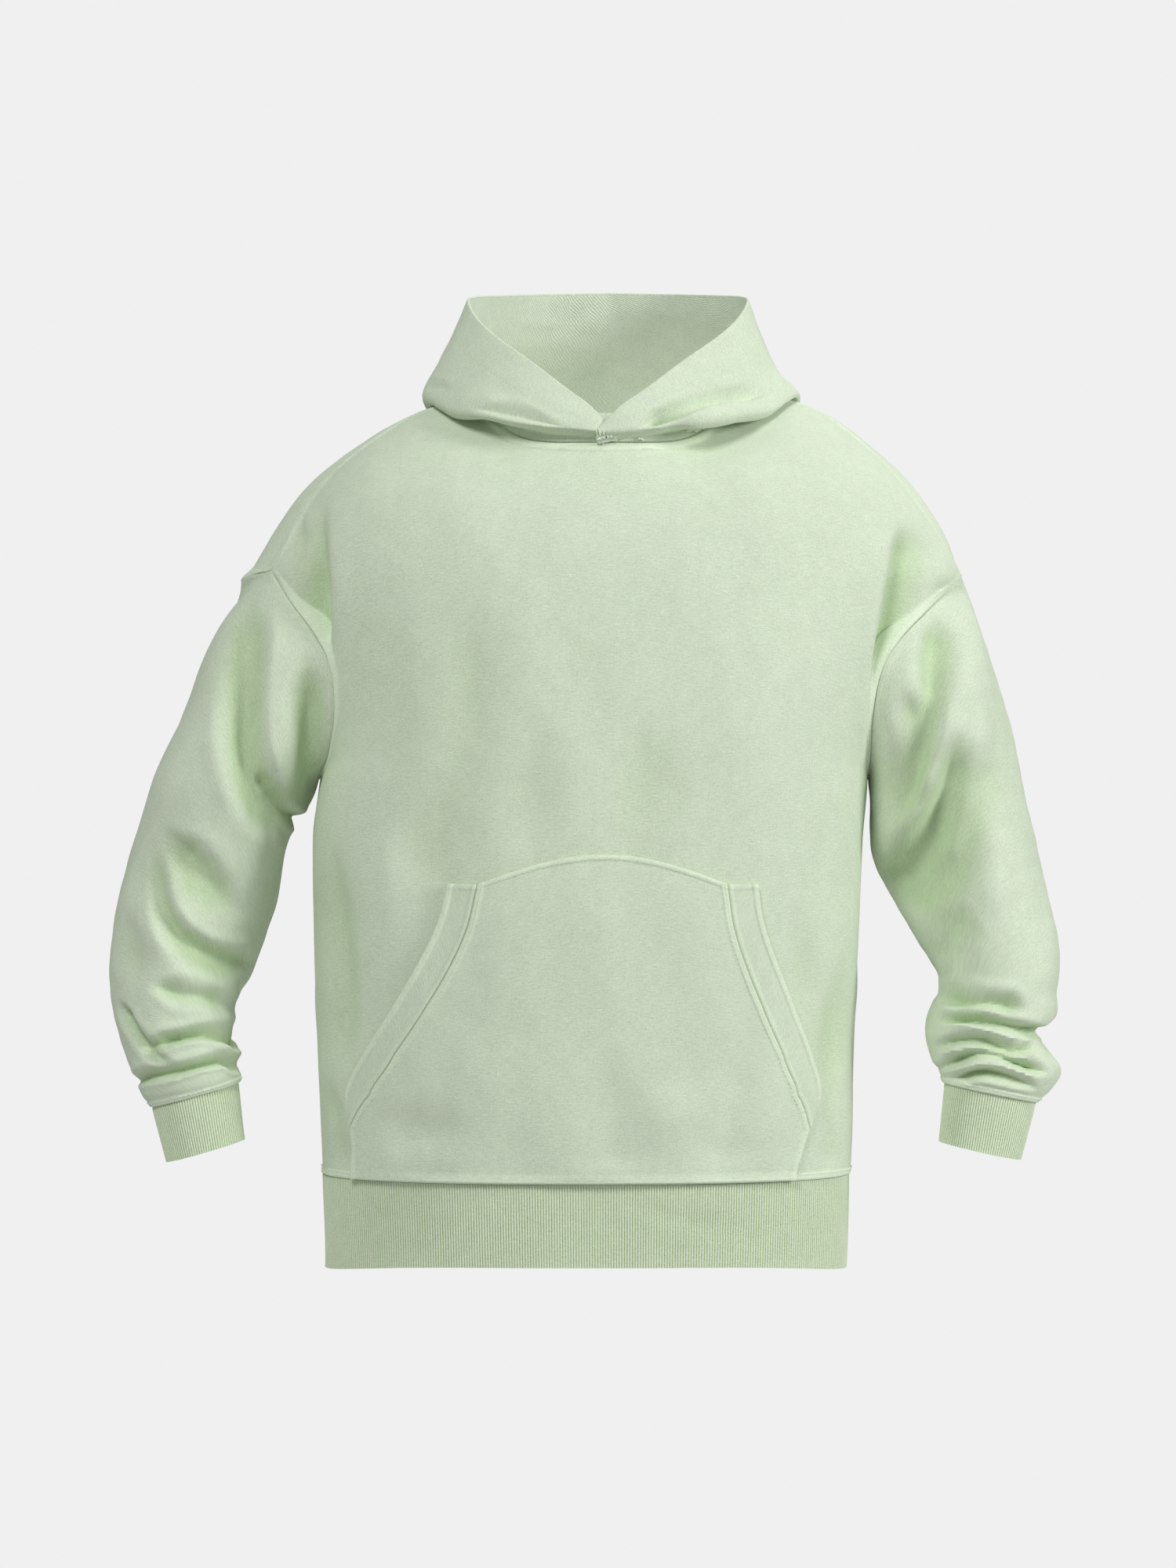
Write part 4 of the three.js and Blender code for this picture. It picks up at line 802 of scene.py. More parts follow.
def between(values, want):
    """Place along each row of rising values where it reaches the wanted value."""
    number = np.arange(len(values))
    k = np.clip((values < want[:, None]).sum(axis=1) - 1, 0, values.shape[1] - 2)
    a, b = values[number, k], values[number, k + 1]
    return k + (want - a) / (b - a)


def sample(grid, row, column):
    """Values of a grid at fractional rows and columns."""
    j = np.clip(np.floor(row).astype(int), 0, grid.shape[0] - 2)
    i = np.clip(np.floor(column).astype(int), 0, grid.shape[1] - 2)
    s, t = (row - j)[..., None], (column - i)[..., None]
    low = grid[j, i] * (1 - t) + grid[j, i + 1] * t
    high = grid[j + 1, i] * (1 - t) + grid[j + 1, i + 1] * t
    return low * (1 - s) + high * s


def on_front(distance, z, lift):
    """Points over the front panel, a distance along the cloth from the pocket's middle line."""
    base, _, grid, _ = body_panel("front")
    rows = BODY_ROWS["front"][0]
    place = np.interp(z.ravel(), base[:rows, 0, 2], np.arange(rows))
    k = np.minimum(place.astype(int), rows - 2)
    share = (place - k)[:, None, None]
    line = base[k] * (1 - share) + base[k + 1] * share
    start = between(line[..., 0], along(POCKET_MIDDLE, "z", z.ravel())["x"])
    reach = lengths(line, axis=1)
    number, whole = np.arange(len(line)), start.astype(int)
    begin = reach[number, whole] + (start - whole) * (reach[number, whole + 1] - reach[number, whole])
    column = between(reach, begin + distance.ravel())
    out = sample(outward(base), place, column)
    out /= np.linalg.norm(out, axis=1, keepdims=True)
    return (sample(grid, place, column) + out * lift.ravel()[:, None]).reshape(*z.shape, 3)


def facing_lines(z):
    """Distances from the pocket's middle line to the outer edge and to the facing's seam."""
    outer = along(POCKET_EDGE, "z", z)["half"]
    held = np.maximum(z, POCKET_CORNER_Z + 1)
    slope = along(POCKET_EDGE, "z", held)["half"] - along(POCKET_EDGE, "z", held + 1)["half"]
    share = np.clip((z - FACING_END_Z) / (POCKET_CORNER_Z - FACING_END_Z), 0, 1)
    return outer, outer - FACING_WIDTH * np.hypot(1, slope) * share


def standing(z, across):
    """How far the pocket stands off the front: little where it is sewn, more at its openings."""
    opening = np.sin(np.pi * np.clip((z - POCKET_CORNER_Z + 12) / 176, 0, 1))
    low = ease((z - POCKET_BOTTOM_Z) / 60)
    top = ease((POCKET_TOP_Z + 24 - z) / 60)
    return 2.9 + 2.2 * low * top * (1 - across**4) + 2.0 * opening * np.abs(across) ** 6


@functools.lru_cache(maxsize=None)
def pocket_grid():
    """The pocket between its facings, from its bottom to its arched top edge."""
    low, high = graded(24, True, False, 0.1, 6)[:-1], graded(104, False, True, 0.06, 8)
    rise = np.concatenate([0 * low, high])
    side_z = np.concatenate(
        [
            POCKET_BOTTOM_Z + (FACING_END_Z - POCKET_BOTTOM_Z) * low,
            FACING_END_Z + (POCKET_TOP_Z - FACING_END_Z) * high,
        ]
    )
    half = facing_lines(side_z)[1]
    across = 2 * graded(144, True, True, 0.025, 7) - 1
    z = side_z[:, None] + POCKET_ARC_RISE * rise[:, None] * np.cos(across * np.pi / 2)
    reach = across * half[:, None]
    outer = facing_lines(z)[0]
    base = on_front(reach, z, standing(z, reach / outer))
    first, last, bottom, top = edge_gaps(base)
    side = np.minimum(first, last)
    push = folds_at(POCKET_FOLDS, "front", base[..., 0], base[..., 2]) + sway(base, 0.5, 40, 12)
    base = base + outward(base) * (push * ease(np.minimum(side, np.minimum(bottom, top)) / 20))[..., None]
    sewn_side = z < FACING_END_Z + 4
    relief = sewn(top, 1.1, 3.2, 0) + sewn(bottom, 0.6, 5, 0.4)
    relief += np.where(sewn_side, sewn(side, 1.0, 5, 0), sewn(side, 0.9, 4.5, 0.4))
    relief = np.clip(relief, -1, 1.1)
    return base, base + outward(base) * relief[..., None], relief


@functools.lru_cache(maxsize=None)
def facing_grid(name):
    """One facing strip beside a pocket opening."""
    side = SIDES[name]
    share = np.linspace(0, 1, 84)[:, None]
    across = graded(26, True, True, 0.2, 6)[None, :]
    inner_z = FACING_END_Z + (POCKET_TOP_Z - FACING_END_Z) * share
    outer_z = POCKET_CORNER_Z + (POCKET_TOP_Z - POCKET_CORNER_Z) * share
    inner, outer = facing_lines(inner_z)[1], facing_lines(outer_z)[0]
    z = inner_z + (outer_z - inner_z) * across
    reach = inner + (outer - inner) * across
    base = on_front(side * reach, z, standing(z, reach / facing_lines(z)[0]))
    if side < 0:
        base = base[:, ::-1]
    first, last, low, top = edge_gaps(base)
    seam, edge = (first, last) if side > 0 else (last, first)
    relief = sewn(seam, 0, 1, 0.4) + 1.0 * ease((4.5 - edge) / 1.3) + sewn(top, 1.1, 3.2, 0)
    relief += 0.6 * ease(seam / 1.2) * ease((4.5 - seam) / 1.3)
    return base, base + outward(base) * relief[..., None], relief


def grid_quads(rows, columns):
    """The four corners of every cell of a grid."""
    number = np.arange(rows * columns).reshape(rows, columns)
    return np.stack([number[:-1, :-1], number[:-1, 1:], number[1:, 1:], number[1:, :-1]], axis=-1).reshape(-1, 4)


def rolled(outer, thick, start=0, end=0, steps=5):
    """A grid with its first or last column rolled over the cloth's edge, half a turn."""
    out = outward(outer)
    angles = np.linspace(0, np.pi, steps + 1)[1:-1]
    parts = [outer]
    for wanted, edge, inner in ((start, 0, 1), (end, -1, -2)):
        if not wanted:
            continue
        way = outer[:, edge] - outer[:, inner]
        way /= np.linalg.norm(way, axis=1, keepdims=True)
        middle = outer[:, edge] - out[:, edge] * thick / 2
        turn = [middle + (out[:, edge] * np.cos(a) + way * np.sin(a)) * thick / 2 for a in angles]
        parts = [np.stack(turn[::-1], axis=1)] + parts if edge == 0 else parts + [np.stack(turn, axis=1)]
    return np.concatenate(parts, axis=1)


def add_mesh(name, points, faces, cloth, materials, slots=None):
    """A mesh object from points in millimetres, with its place on the cloth, and its value for wear and painted light
    and shade, stored at each point.
    """
    mesh = bpy.data.meshes.new(name)
    mesh.from_pydata((points * MM).tolist(), [], faces)
    place = mesh.attributes.new("cloth", "FLOAT_VECTOR", "POINT")
    place.data.foreach_set("vector", np.asarray(cloth, np.float32).ravel())
    for material in materials:
        mesh.materials.append(material)
    if slots is not None:
        mesh.polygons.foreach_set("material_index", np.asarray(slots, np.int32))
    mesh.polygons.foreach_set("use_smooth", [True] * len(mesh.polygons))
    mesh.set_sharp_from_angle(angle=np.radians(55))
    mesh.validate()
    mesh.update()
    piece = bpy.data.objects.new(name, mesh)
    bpy.context.scene.collection.objects.link(piece)
    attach(piece, "root")
    return piece


def add_wall(name, base, grid, relief, thick, materials, step=(2, 2), roll_start=0, roll_end=0, inside=None):
    """A sheet of cloth with its thickness: a fine outside, and a coarser inside on the plain form."""
    rows, columns = grid.shape[:2]
    outer = rolled(grid, thick if np.isscalar(thick) else thick[:, :1], roll_start, roll_end)
    extra = (outer.shape[1] - columns) // max(1, roll_start + roll_end)
    before = extra if roll_start else 0
    inner = base - outward(base) * thick if inside is None else inside
    pick_row = np.unique(np.append(np.arange(0, rows, step[0]), rows - 1))
    pick_column = np.unique(np.append(np.arange(0, columns, step[1]), columns - 1))
    match = pick_column + before
    match[0], match[-1] = 0, outer.shape[1] - 1
    inner = inner[np.ix_(pick_row, pick_column)]
    wide, count = outer.shape[1], outer.shape[0] * outer.shape[1]
    faces = grid_quads(rows, wide).tolist()
    outside_faces = len(faces)
    faces += (grid_quads(*inner.shape[:2])[:, ::-1] + count).tolist()
    inside_faces = len(faces)
    high, side = (rows - 1) * wide, len(pick_column)
    for k in range(len(pick_column) - 1):
        run = range(match[k], match[k + 1] + 1)
        low, top = count + k, count + (len(pick_row) - 1) * side + k
        faces.append([*reversed(run), low, low + 1])
        faces.append([*(high + i for i in run), top + 1, top])
    for k in range(len(pick_row) - 1):
        run = range(pick_row[k], pick_row[k + 1] + 1)
        left, right = count + k * side, count + (k + 1) * side - 1
        faces.append([*(j * wide for j in run), left + side, left])
        faces.append([*((j + 1) * wide - 1 for j in reversed(run)), right, right + side])
    across, up = lengths(grid, axis=1), lengths(grid, axis=0)
    # The third part is the value that the material paints as light and shade: paler on raised seams and rolled edges,
    # partly by wear, and painted shade in grooves, rib valleys and fold troughs
    cloth = np.stack([(across - across[:, columns // 2, None]) * MM, up * MM, relief], axis=-1)
    after = extra if roll_end else 0
    cloth = np.concatenate([cloth[:, :1]] * before + [cloth] + [cloth[:, -1:]] * after, axis=1)
    inner_cloth = cloth[np.ix_(pick_row, pick_column + before)] * (1, 1, 0)
    points = np.concatenate([outer.reshape(-1, 3), inner.reshape(-1, 3)])
    places = np.concatenate([cloth.reshape(-1, 3), inner_cloth.reshape(-1, 3)])
    slots = np.zeros(len(faces), int)
    if len(materials) > 1:
        slots[outside_faces:inside_faces] = 1
    return add_mesh(name, points, faces, places, materials, slots)


def ribbed(name, line, settings, sway_seed, materials):
    """A band of rib knit between two closed lines, with rounded ribs outside and a plain inside."""
    low, high = line
    length = lengths(high)[-1]
    ribs = int(round(length / (settings.rib_pitch / MM)))
    share = np.linspace(0, 1, 6 * ribs + 1)
    height = graded(13, True, True, 0.06, 2)[:, None, None]
    low, high = spaced(low, share), spaced(high, share)
    base = low + (high - low) * height
    out = outward(base)
    out[:, 0] = out[:, -1] = (out[:, 0] + out[:, -1]) / 2
    out /= np.linalg.norm(out, axis=-1, keepdims=True)
    phase = share * ribs
    rib = (settings.rib_height / MM) * (np.abs(np.sin(np.pi * phase)) ** 0.8 - 1)
    ends = np.sin(np.pi * np.clip(height[..., 0] * 1.0, 0, 1)) ** 0.3
    wave = sway(base, 0.8, 60, sway_seed)
    wave[:, -1] = wave[:, 0]
    wave += folds_at(HEM_FOLDS, "front", base[..., 0], base[..., 2]) * (base[..., 1] < 0)
    push = rib[None, :] * (0.6 + 0.4 * ends) + wave * ends
    grid = base + out * push[..., None]
    inside = base + out * (wave * ends - settings.rib_cloth / MM)[..., None]
    # This value is -1 in the valleys between ribs, where the rib material paints shade
    relief = rib[None, :] / (settings.rib_height / MM) + 0 * base[..., 0]
    piece = add_wall(name, base, grid, relief, settings.rib_cloth / MM, materials, step=(4, 6), inside=inside)
    return piece, ribs


def hem_lines():
    """The closed lines of the hem band's bottom and top, from the right side seam over the front."""
    made = []
    for z in (HEM_BOTTOM_Z, HEM_SEAM_Z - 0.3):
        cut = along(BODY, "z", np.array([z]))
        parts = []
        for face, deep in (("front", -cut["front"]), ("back", cut["back"])):
            centre = np.stack([cut["middle"], deep, np.array([z])], axis=1)
            halves = []
            for side in SIDES.values():
                edge = np.stack([cut["middle"] + side * cut["half"], [0.0], [z]], axis=1)
                halves.append(quarters(centre, edge, cut["half"], cut["square"], cut["rise"], np.zeros((1, 2)))[0])
            line = np.concatenate([halves[0][::-1], halves[1][1:]])
            if z == HEM_BOTTOM_Z:
                line[:, 2] -= HEM_DROP * np.abs((line[:, 0] - cut["middle"]) / cut["half"]) ** 4
            parts.append(line if face == "front" else line[::-1][1:])
        made.append(np.concatenate(parts))
    return made


def cuff_lines(name):
    """The closed lines of a cuff's bottom and top."""
    top_row = {key: value[-1] for key, value in SLEEVE[name].items()}
    made = []
    for row in (CUFF[name], top_row):
        points = rings(row, 720)
        points = np.concatenate([points, points[:1]])
        made.append(points if name == "right" else points[::-1])
    return made


def beside(grid, edge, distance):
    """The line of points on a grid at a distance from one edge, with their outward directions."""
    out = outward(grid)
    if edge in ("low", "high"):
        grid, out = np.swapaxes(grid, 0, 1), np.swapaxes(out, 0, 1)
    if edge in ("last", "high"):
        grid, out = grid[:, ::-1], out[:, ::-1]
    seam = np.gradient(grid[:, 0], axis=0)
    way = grid[:, 4] - grid[:, 0]
    square = np.linalg.norm(np.cross(seam, way), axis=1)
    square /= np.maximum(np.linalg.norm(seam, axis=1) * np.linalg.norm(way, axis=1), 1e-9)
    column = between(lengths(grid, axis=1), distance / np.maximum(square, 0.3))
    row = np.arange(len(grid), dtype=float)
    return sample(grid, row, column), sample(out, row, column)


def stitched(rows, settings):
    """Points and faces of stitches along lines of points."""
    long, gap = settings.stitch_length / MM, settings.stitch_gap / MM
    thick = settings.thread / MM / 2
    points, faces = [], []
    for line, out in rows:
        reach = lengths(line)
        count = int(reach[-1] // (long + gap))
        if count < 1:
            continue
        middle = (np.arange(count) + 0.5) * reach[-1] / count
        at = lambda places, values: np.stack([np.interp(places, reach, values[:, k]) for k in range(3)], axis=1)
        centre, up = at(middle, line), at(middle, out)
        way = at(middle + long / 2, line) - at(middle - long / 2, line)
        way /= np.linalg.norm(way, axis=1, keepdims=True)
        up /= np.linalg.norm(up, axis=1, keepdims=True)
        aside = np.cross(way, up)
        centre = centre + up * 0.12
        corners = [
            centre + way * long / 2 - up * thick,
            centre + aside * thick,
            centre + up * thick,
            centre - aside * thick,
            centre - up * thick,
            centre - way * long / 2 - up * thick,
        ]
        start = sum(len(p) for p in points)
        points.append(np.stack(corners, axis=1).reshape(-1, 3))
        for k in range(count):
            a = start + 6 * k
            for i in range(4):
                here, after = a + 1 + i, a + 1 + (i + 1) % 4
                faces.append((a, here, after))
                faces.append((a + 5, after, here))
    return np.concatenate(points), faces


class Nodes:
    """Short ways to place and join the nodes of a material."""

    def __init__(self, name):
        self.material = bpy.data.materials.new(name)
        self.material.use_nodes = True
        self.tree = self.material.node_tree
        self.shader = self.tree.nodes["Principled BSDF"]

    def put(self, kind, settings=None, **inputs):
        node = self.tree.nodes.new(kind)
        for name, value in (settings or {}).items():
            setattr(node, name, value)
        for name, value in inputs.items():
            self.join(value, node.inputs[name.replace("_", " ")])
        return node

    def join(self, value, socket):
        if isinstance(value, bpy.types.NodeSocket):
            self.tree.links.new(value, socket)
        else:
            socket.default_value = value

    def math(self, operation, a, b=0.0, c=0.0):
        node = self.tree.nodes.new("ShaderNodeMath")
        node.operation = operation
        for socket, value in zip(node.inputs, (a, b, c)):
            self.join(value, socket)
        return node.outputs[0]

    def noise(self, place, scale, detail=2.0, rough=0.5):
        return self.put("ShaderNodeTexNoise", Vector=place, Scale=scale, Detail=detail, Roughness=rough).outputs[0]

    def stretched(self, place, x, y):
        node = self.tree.nodes.new("ShaderNodeVectorMath")
        node.operation = "MULTIPLY"
        self.join(place, node.inputs[0])
        node.inputs[1].default_value = (x, y, 0)
        return node.outputs[0]


def cloth_material(name, colour, sheen, grain, twill=None, bump=0.35, wear_and_painted_light=0.12):
    """Knitted cloth: a mottled colour with fine grain, paler raised seams partly by wear and partly as a painted
    highlight, painted shade in grooves and fold troughs, a bumpy knit and a soft sheen.
    """
    made = Nodes(name)
    cloth = made.put("ShaderNodeAttribute", {"attribute_name": "cloth"}).outputs["Vector"]
    parts = made.put("ShaderNodeSeparateXYZ", Vector=cloth)
    # The cloth value's third part carries wear and painted light and shade
    u, v, wear_and_painted_shading = parts.outputs
    flat = made.stretched(cloth, 1, 1)
    broad = made.noise(flat, 14, 2)
    blotch = made.noise(flat, 70, 3)
    speckle = made.noise(flat, 620, 2, 0.6)
    grains = made.noise(made.stretched(cloth, 160, 900), 1, 2, 0.6)
    factor = 1.0
    for value, weight in ((broad, 0.08), (blotch, 0.12), (speckle, 0.42), (grains, grain)):
        factor = made.math("MULTIPLY_ADD", made.math("SUBTRACT", value, 0.5), weight, factor)
    # Above 0, raised seams, rolled edges and fold crests are paler, partly by wear and partly as a painted highlight;
    # below 0, seam grooves, stitch dimples, rib valleys and fold troughs are darker as painted shade
    high = made.math("MAXIMUM", wear_and_painted_shading, 0.0)
    low = made.math("MINIMUM", wear_and_painted_shading, 0.0)
    factor = made.math("MULTIPLY_ADD", high, 0.11, factor)
    factor = made.math("MULTIPLY_ADD", low, wear_and_painted_light, factor)
    surface = made.math("ADD", made.math("MULTIPLY", speckle, 0.6), made.math("MULTIPLY", grains, 0.5))
    if twill:
        size, depth = twill
        slope = made.math("MULTIPLY_ADD", v, 0.7, u)
        slope = made.math("MULTIPLY_ADD", made.math("SUBTRACT", blotch, 0.5), 0.006, slope)
        lines = made.math("SINE", made.math("MULTIPLY", slope, 2 * np.pi / size))
        factor = made.math("MULTIPLY_ADD", lines, depth, factor)
        surface = made.math("MULTIPLY_ADD", lines, 0.3, surface)
    # Painted shade also deepens the colour: red and blue drop more than green where the value is below 0
    red_deeper_in_painted_shade = made.math("MULTIPLY_ADD", low, 0.1, factor)
    blue_deeper_in_painted_shade = made.math("MULTIPLY_ADD", low, 0.2, factor)
    tone = made.put("ShaderNodeMix", {"data_type": "RGBA", "blend_type": "MULTIPLY"})
    tone.inputs["Factor"].default_value = 1
    tone.inputs["A"].default_value = (*colour, 1)
    made.join(made.put("ShaderNodeCombineColor", Red=red_deeper_in_painted_shade, Green=factor, Blue=blue_deeper_in_painted_shade).outputs[0], tone.inputs["B"])
    made.join(tone.outputs["Result"], made.shader.inputs["Base Color"])
    bumps = made.put("ShaderNodeBump", Height=surface, Strength=bump, Distance=0.0006)
    made.join(bumps.outputs[0], made.shader.inputs["Normal"])
    made.shader.inputs["Roughness"].default_value = 0.96
    made.shader.inputs["Sheen Weight"].default_value = sheen
    made.shader.inputs["Sheen Roughness"].default_value = 0.5
    made.shader.inputs["Sheen Tint"].default_value = (*colour, 1)
    return made.material


@functools.lru_cache(maxsize=None)
def materials():
    """The materials of the whole garment."""
    settings = bpy.context.scene.hoodie
    cloth, rib, thread = (tuple(c) for c in (settings.cloth_colour, settings.rib_colour, settings.thread_colour))
    # The hood's inside is painted lighter than the fleece, standing in for light that reaches it
    inside = tuple(np.array(cloth) * (1.34, 1.27, 1.38))
    return {
        "fleece": cloth_material("fleece", cloth, 0.3, 0.36),
        "inside": cloth_material("loopback inside painted lighter", inside, 0.15, 0.1, (0.0024, 0.03), 0.4),
        # The rib knit gets strong painted shade in the valleys between its ribs
        "rib": cloth_material("rib knit", rib, 0.25, 0.2, wear_and_painted_light=0.42),
        "thread": cloth_material("sewing thread", thread, 0.1, 0.0),
    }


class HoodieSettings(bpy.types.PropertyGroup):
    """Sizes and colours of the hoodie's cloth."""

    body_cloth: bpy.props.FloatProperty(
        name="Body cloth", description="Thickness of the body's fleece", default=0.002, min=0.001, unit="LENGTH"
    )
    hood_cloth: bpy.props.FloatProperty(
        name="Hood cloth", description="Thickness of the hood's fleece", default=0.0026, min=0.001, unit="LENGTH"
    )
    rib_cloth: bpy.props.FloatProperty(
        name="Rib cloth", description="Thickness of the rib knit", default=0.0022, min=0.001, unit="LENGTH"
    )
    rib_pitch: bpy.props.FloatProperty(
        name="Rib pitch", description="Distance from one rib to the next", default=0.0022, min=0.001, unit="LENGTH"
    )
    rib_height: bpy.props.FloatProperty(
        name="Rib height", description="How far a rib stands out", default=0.0007, min=0.0001, unit="LENGTH"
    )
    stitch_length: bpy.props.FloatProperty(
        name="Stitch length", description="Length of one stitch", default=0.0029, min=0.001, unit="LENGTH"
    )
    stitch_gap: bpy.props.FloatProperty(
        name="Stitch gap", description="Space between two stitches", default=0.001, min=0.0002, unit="LENGTH"
    )
    thread: bpy.props.FloatProperty(
        name="Thread", description="Thickness of the sewing thread", default=0.0008, min=0.0002, unit="LENGTH"
    )
    cloth_colour: bpy.props.FloatVectorProperty(
        name="Fleece colour", description="Colour of the fleece", default=(0.655, 0.75, 0.58), subtype="COLOR"
    )
    rib_colour: bpy.props.FloatVectorProperty(
        name="Rib colour", description="Colour of the rib knit", default=(0.74, 0.83, 0.64), subtype="COLOR"
    )
    thread_colour: bpy.props.FloatVectorProperty(
        name="Thread colour", description="Colour of the thread", default=(0.78, 0.88, 0.7), subtype="COLOR"
    )


def finish_piece(node):
    """Hides the model's part that a built piece replaces."""
    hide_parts(node)


def stitches_on(piece_name, rows):
    """A piece's stitches as one object."""
    points, faces = stitched(rows, bpy.context.scene.hoodie)
    cloth = np.concatenate([points[:, ::2] * MM, np.zeros((len(points), 1))], axis=1)
    threads = add_mesh("stitches_" + piece_name, points, faces, cloth, [materials()["thread"]])
    return threads


class HOODIE_OT_body(bpy.types.Operator):
    """Builds the front and back panels"""

    bl_idname = "hoodie.body"
    bl_label = "Body"

    def execute(self, context):
        thick = context.scene.hoodie.body_cloth / MM
        for face, flat, area in (("front", (0.66, 0.70), 0.367), ("back", (0.70, 0.72), 0.39)):
            _, form, grid, relief = body_panel(face)
            side_rows, arm_rows = BODY_ROWS[face][:2]
            arm = slice(side_rows, side_rows + arm_rows + 1)
            above = slice(side_rows + arm_rows, None)
            rows = [beside(grid[arm], "first", 5.9), beside(grid[arm], "last", 5.9)]
            rows.append(beside(grid, "low", 6.2))
            if face == "front":
                rows += [beside(grid[above], "first", 5.4), beside(grid[above], "last", 5.4)]
            threads = stitches_on(face, rows)
            piece = add_wall(face + "_panel", form, grid, relief, thick, [materials()["fleece"]], step=(3, 1))
            finish_piece(face + "_body")
        return {"FINISHED"}


class HOODIE_OT_sleeves(bpy.types.Operator):
    """Builds both sleeves"""

    bl_idname = "hoodie.sleeves"
    bl_label = "Sleeves"

    def execute(self, context):
        thick = context.scene.hoodie.body_cloth / MM
        for name in SIDES:
            form, grid, relief = sleeve_panel(name)
            rows = [beside(grid, "low", 3.6), beside(grid, "high", 5.6)]
            threads = stitches_on(name + "_sleeve", rows)
            piece = add_wall(name + "_sleeve", form, grid, relief, thick, [materials()["fleece"]], step=(1, 1))
            finish_piece("sleeve_" + name)
        return {"FINISHED"}


class HOODIE_OT_hood(bpy.types.Operator):
    """Builds both halves of the hood"""

    bl_idname = "hoodie.hood"
    bl_label = "Hood"

    def execute(self, context):
        thick = context.scene.hoodie.hood_cloth / MM
        for name in SIDES:
            base, grid, relief = hood_panel(name)
            seam, rim = ("first", "last") if name == "right" else ("last", "first")
            out = outward(grid)
            out[-1, :, 0] = 0
            inside = grid - out / np.linalg.norm(out, axis=-1, keepdims=True) * (thick - 0.2)
            threads = stitches_on(name + "_hood", [beside(grid[16:], seam, 4.6), beside(grid, rim, HOOD_HEM_DEPTH)])
            roll = {"roll_end": 1} if name == "right" else {"roll_start": 1}
            cloths = [materials()["fleece"], materials()["inside"]]
            piece = add_wall(name + "_hood_half", base, grid, relief, thick, cloths, step=(1, 1), inside=inside, **roll)
            finish_piece("hood_" + name)
        return {"FINISHED"}


class HOODIE_OT_pocket(bpy.types.Operator):
    """Builds the kangaroo pocket and its facings"""

    bl_idname = "hoodie.pocket"
    bl_label = "Pocket"

    def execute(self, context):
        thick = context.scene.hoodie.body_cloth / MM
        base, grid, relief = pocket_grid()
        rows = [beside(grid, "high", 4), beside(grid, "first", 5), beside(grid, "last", 5)]
        threads = stitches_on("pocket", rows)
        piece = add_wall("pocket", base, grid, relief, thick, [materials()["fleece"]])
        finish_piece("pocket_panel")
        for name in SIDES:
            base, grid, relief = facing_grid(name)
            roll = {"roll_end": 1} if name == "left" else {"roll_start": 1}
            piece = add_wall(name + "_facing", base, grid, relief, thick, [materials()["fleece"]], **roll)
            node = "pocket_facing_" + name
            finish_piece(node)
        return {"FINISHED"}


class HOODIE_OT_bands(bpy.types.Operator):
    """Builds the hem band and the cuffs in rib knit"""

    bl_idname = "hoodie.bands"
    bl_label = "Rib bands"

    def execute(self, context):
        settings = context.scene.hoodie
        rib = [materials()["rib"]]
        piece, _ = ribbed("hem_rib", hem_lines(), settings, 20, rib)
        finish_piece("hem_band")
        for name in SIDES:
            piece, _ = ribbed(name + "_cuff", cuff_lines(name), settings, 21, rib)
            finish_piece("cuff_" + name)
        return {"FINISHED"}


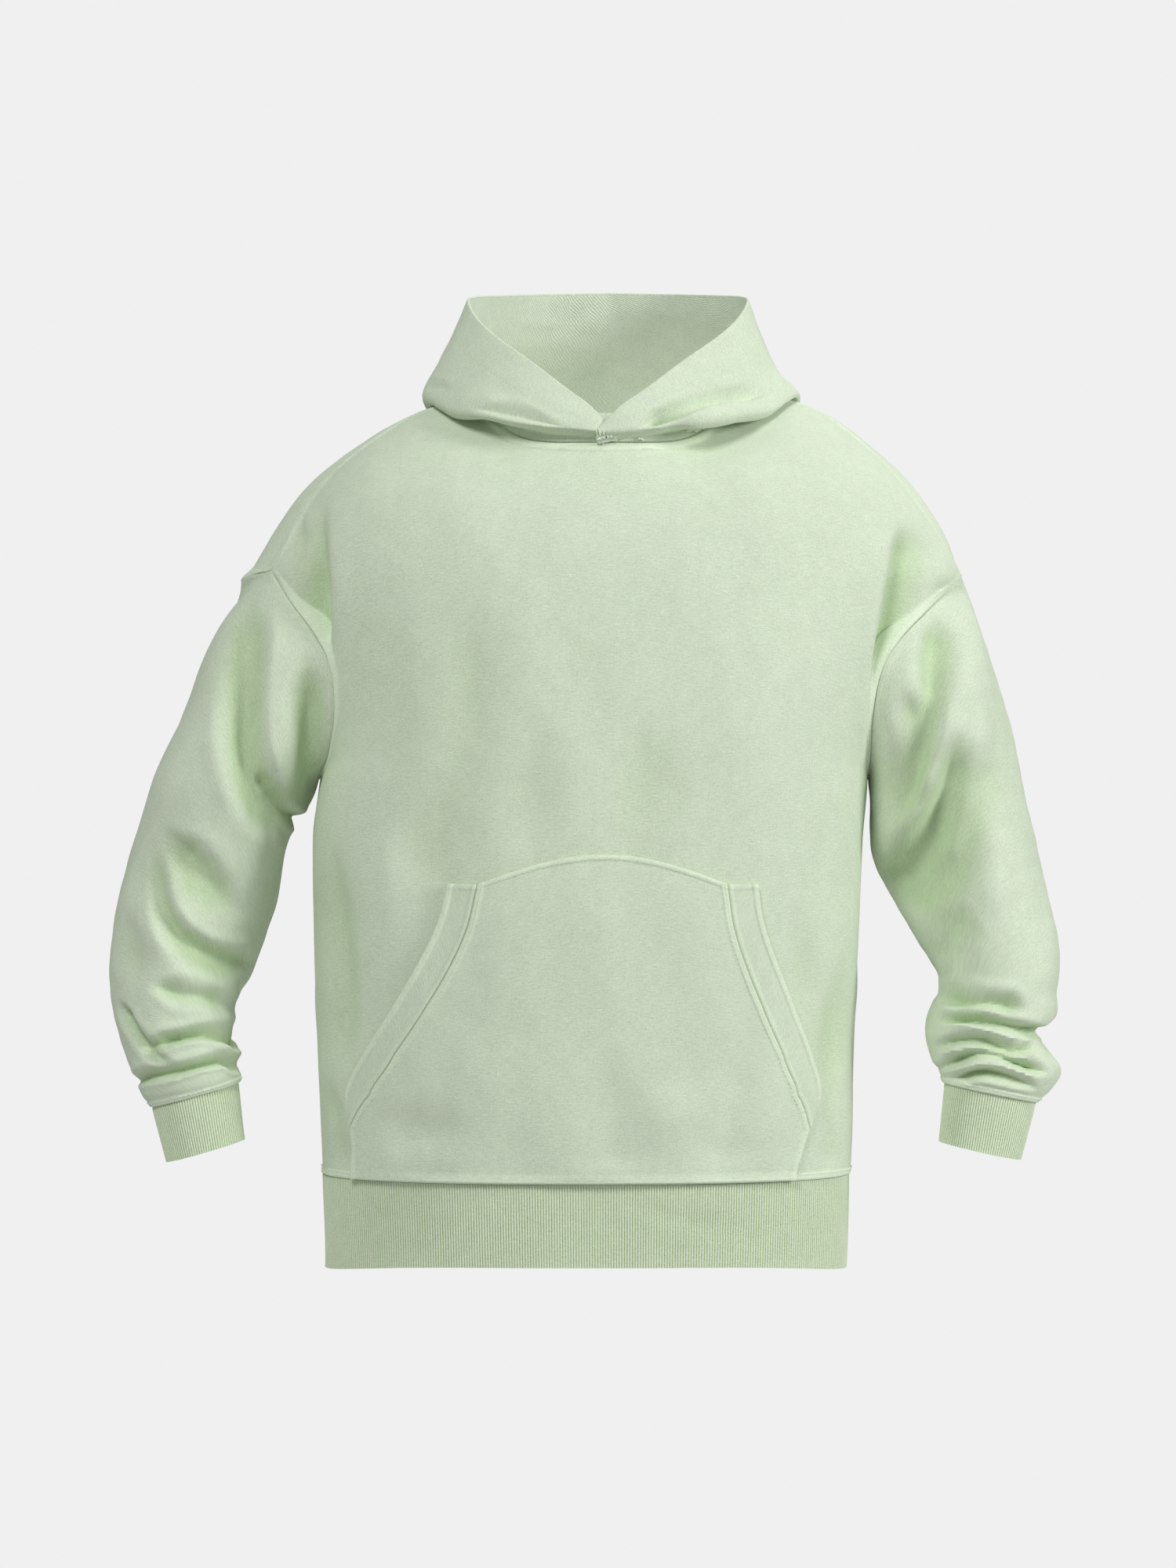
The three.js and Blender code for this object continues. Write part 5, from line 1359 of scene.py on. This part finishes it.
class HOODIE_OT_stage(bpy.types.Operator):
    """Sets the floor, the studio light and the camera"""

    bl_idname = "hoodie.stage"
    bl_label = "Stage"

    def execute(self, context):
        scene = context.scene
        bpy.ops.mesh.primitive_circle_add(vertices=96, radius=1.15, fill_type="NGON", location=(0, 0, -1.25))
        floor = context.object
        floor.name = "floor"
        paint = Nodes("studio floor")
        grain = paint.noise(paint.put("ShaderNodeTexCoord").outputs["Object"], 40, 3)
        shade = paint.math("MULTIPLY_ADD", grain, 0.02, 0.82)
        tone = paint.put("ShaderNodeCombineColor", Red=shade, Green=shade, Blue=shade)
        paint.join(tone.outputs[0], paint.shader.inputs["Base Color"])
        paint.shader.inputs["Roughness"].default_value = 0.9
        floor.data.materials.append(paint.material)
        for name, place, size, energy in (
            ("key light", (3.2, -1.6, 0.9), 1.3, 82),
            ("front light", (-1.2, -3.2, 2.6), 1.6, 92),
            ("back light", (0.8, 2.6, 3.0), 1.6, 45),
            ("side light", (-2.6, -1.6, 0.2), 1.6, 4),
        ):
            lamp = bpy.data.lights.new(name, "AREA")
            lamp.shape, lamp.size, lamp.energy = "DISK", size, energy
            light = bpy.data.objects.new(name, lamp)
            light.location = place
            light.rotation_euler = (Vector((0, 0, -0.3)) - Vector(place)).to_track_quat("-Z", "Y").to_euler()
            scene.collection.objects.link(light)
        world = bpy.data.worlds.new("studio")
        scene.world = world
        world.use_nodes = True
        tree = world.node_tree
        back = tree.nodes["Background"]
        back.inputs["Color"].default_value = (0.871, 0.871, 0.871, 1)
        seen = tree.nodes.new("ShaderNodeLightPath").outputs["Is Camera Ray"]
        blend = tree.nodes.new("ShaderNodeMath")
        blend.operation = "MULTIPLY_ADD"
        tree.links.new(seen, blend.inputs[0])
        blend.inputs[1].default_value, blend.inputs[2].default_value = 0.74, 0.26
        tree.links.new(blend.outputs[0], back.inputs["Strength"])
        scene.view_settings.view_transform = "Standard"
        lens = bpy.data.cameras.new("camera")
        lens.lens, lens.sensor_width = 96, 36
        camera = bpy.data.objects.new("camera", lens)
        camera.location = (-0.0142, -3.5, -0.3096)
        camera.rotation_euler = (np.pi / 2, 0, 0)
        scene.collection.objects.link(camera)
        scene.camera = camera
        return {"FINISHED"}


class HOODIE_PT_panel(bpy.types.Panel):
    """Lists the steps that build the hoodie"""

    bl_label = "Pullover hoodie"
    bl_space_type = "VIEW_3D"
    bl_region_type = "UI"
    bl_category = "Hoodie"

    def draw(self, context):
        column = self.layout.column()
        for step in STEPS:
            column.operator(step.bl_idname)
        for name in HoodieSettings.__annotations__:
            column.prop(context.scene.hoodie, name)


STEPS = (
    HOODIE_OT_body,
    HOODIE_OT_sleeves,
    HOODIE_OT_hood,
    HOODIE_OT_pocket,
    HOODIE_OT_bands,
    HOODIE_OT_stage,
)
CLASSES = (HoodieSettings, *STEPS, HOODIE_PT_panel)


def register():
    for kind in CLASSES:
        bpy.utils.register_class(kind)
    bpy.types.Scene.hoodie = bpy.props.PointerProperty(type=HoodieSettings)


def unregister():
    del bpy.types.Scene.hoodie
    for kind in reversed(CLASSES):
        bpy.utils.unregister_class(kind)


def main():
    register()
    bpy.ops.hoodie.body()
    bpy.ops.hoodie.sleeves()
    bpy.ops.hoodie.hood()
    bpy.ops.hoodie.pocket()
    bpy.ops.hoodie.bands()
    bpy.ops.hoodie.stage()


if __name__ == "__main__":
    main()
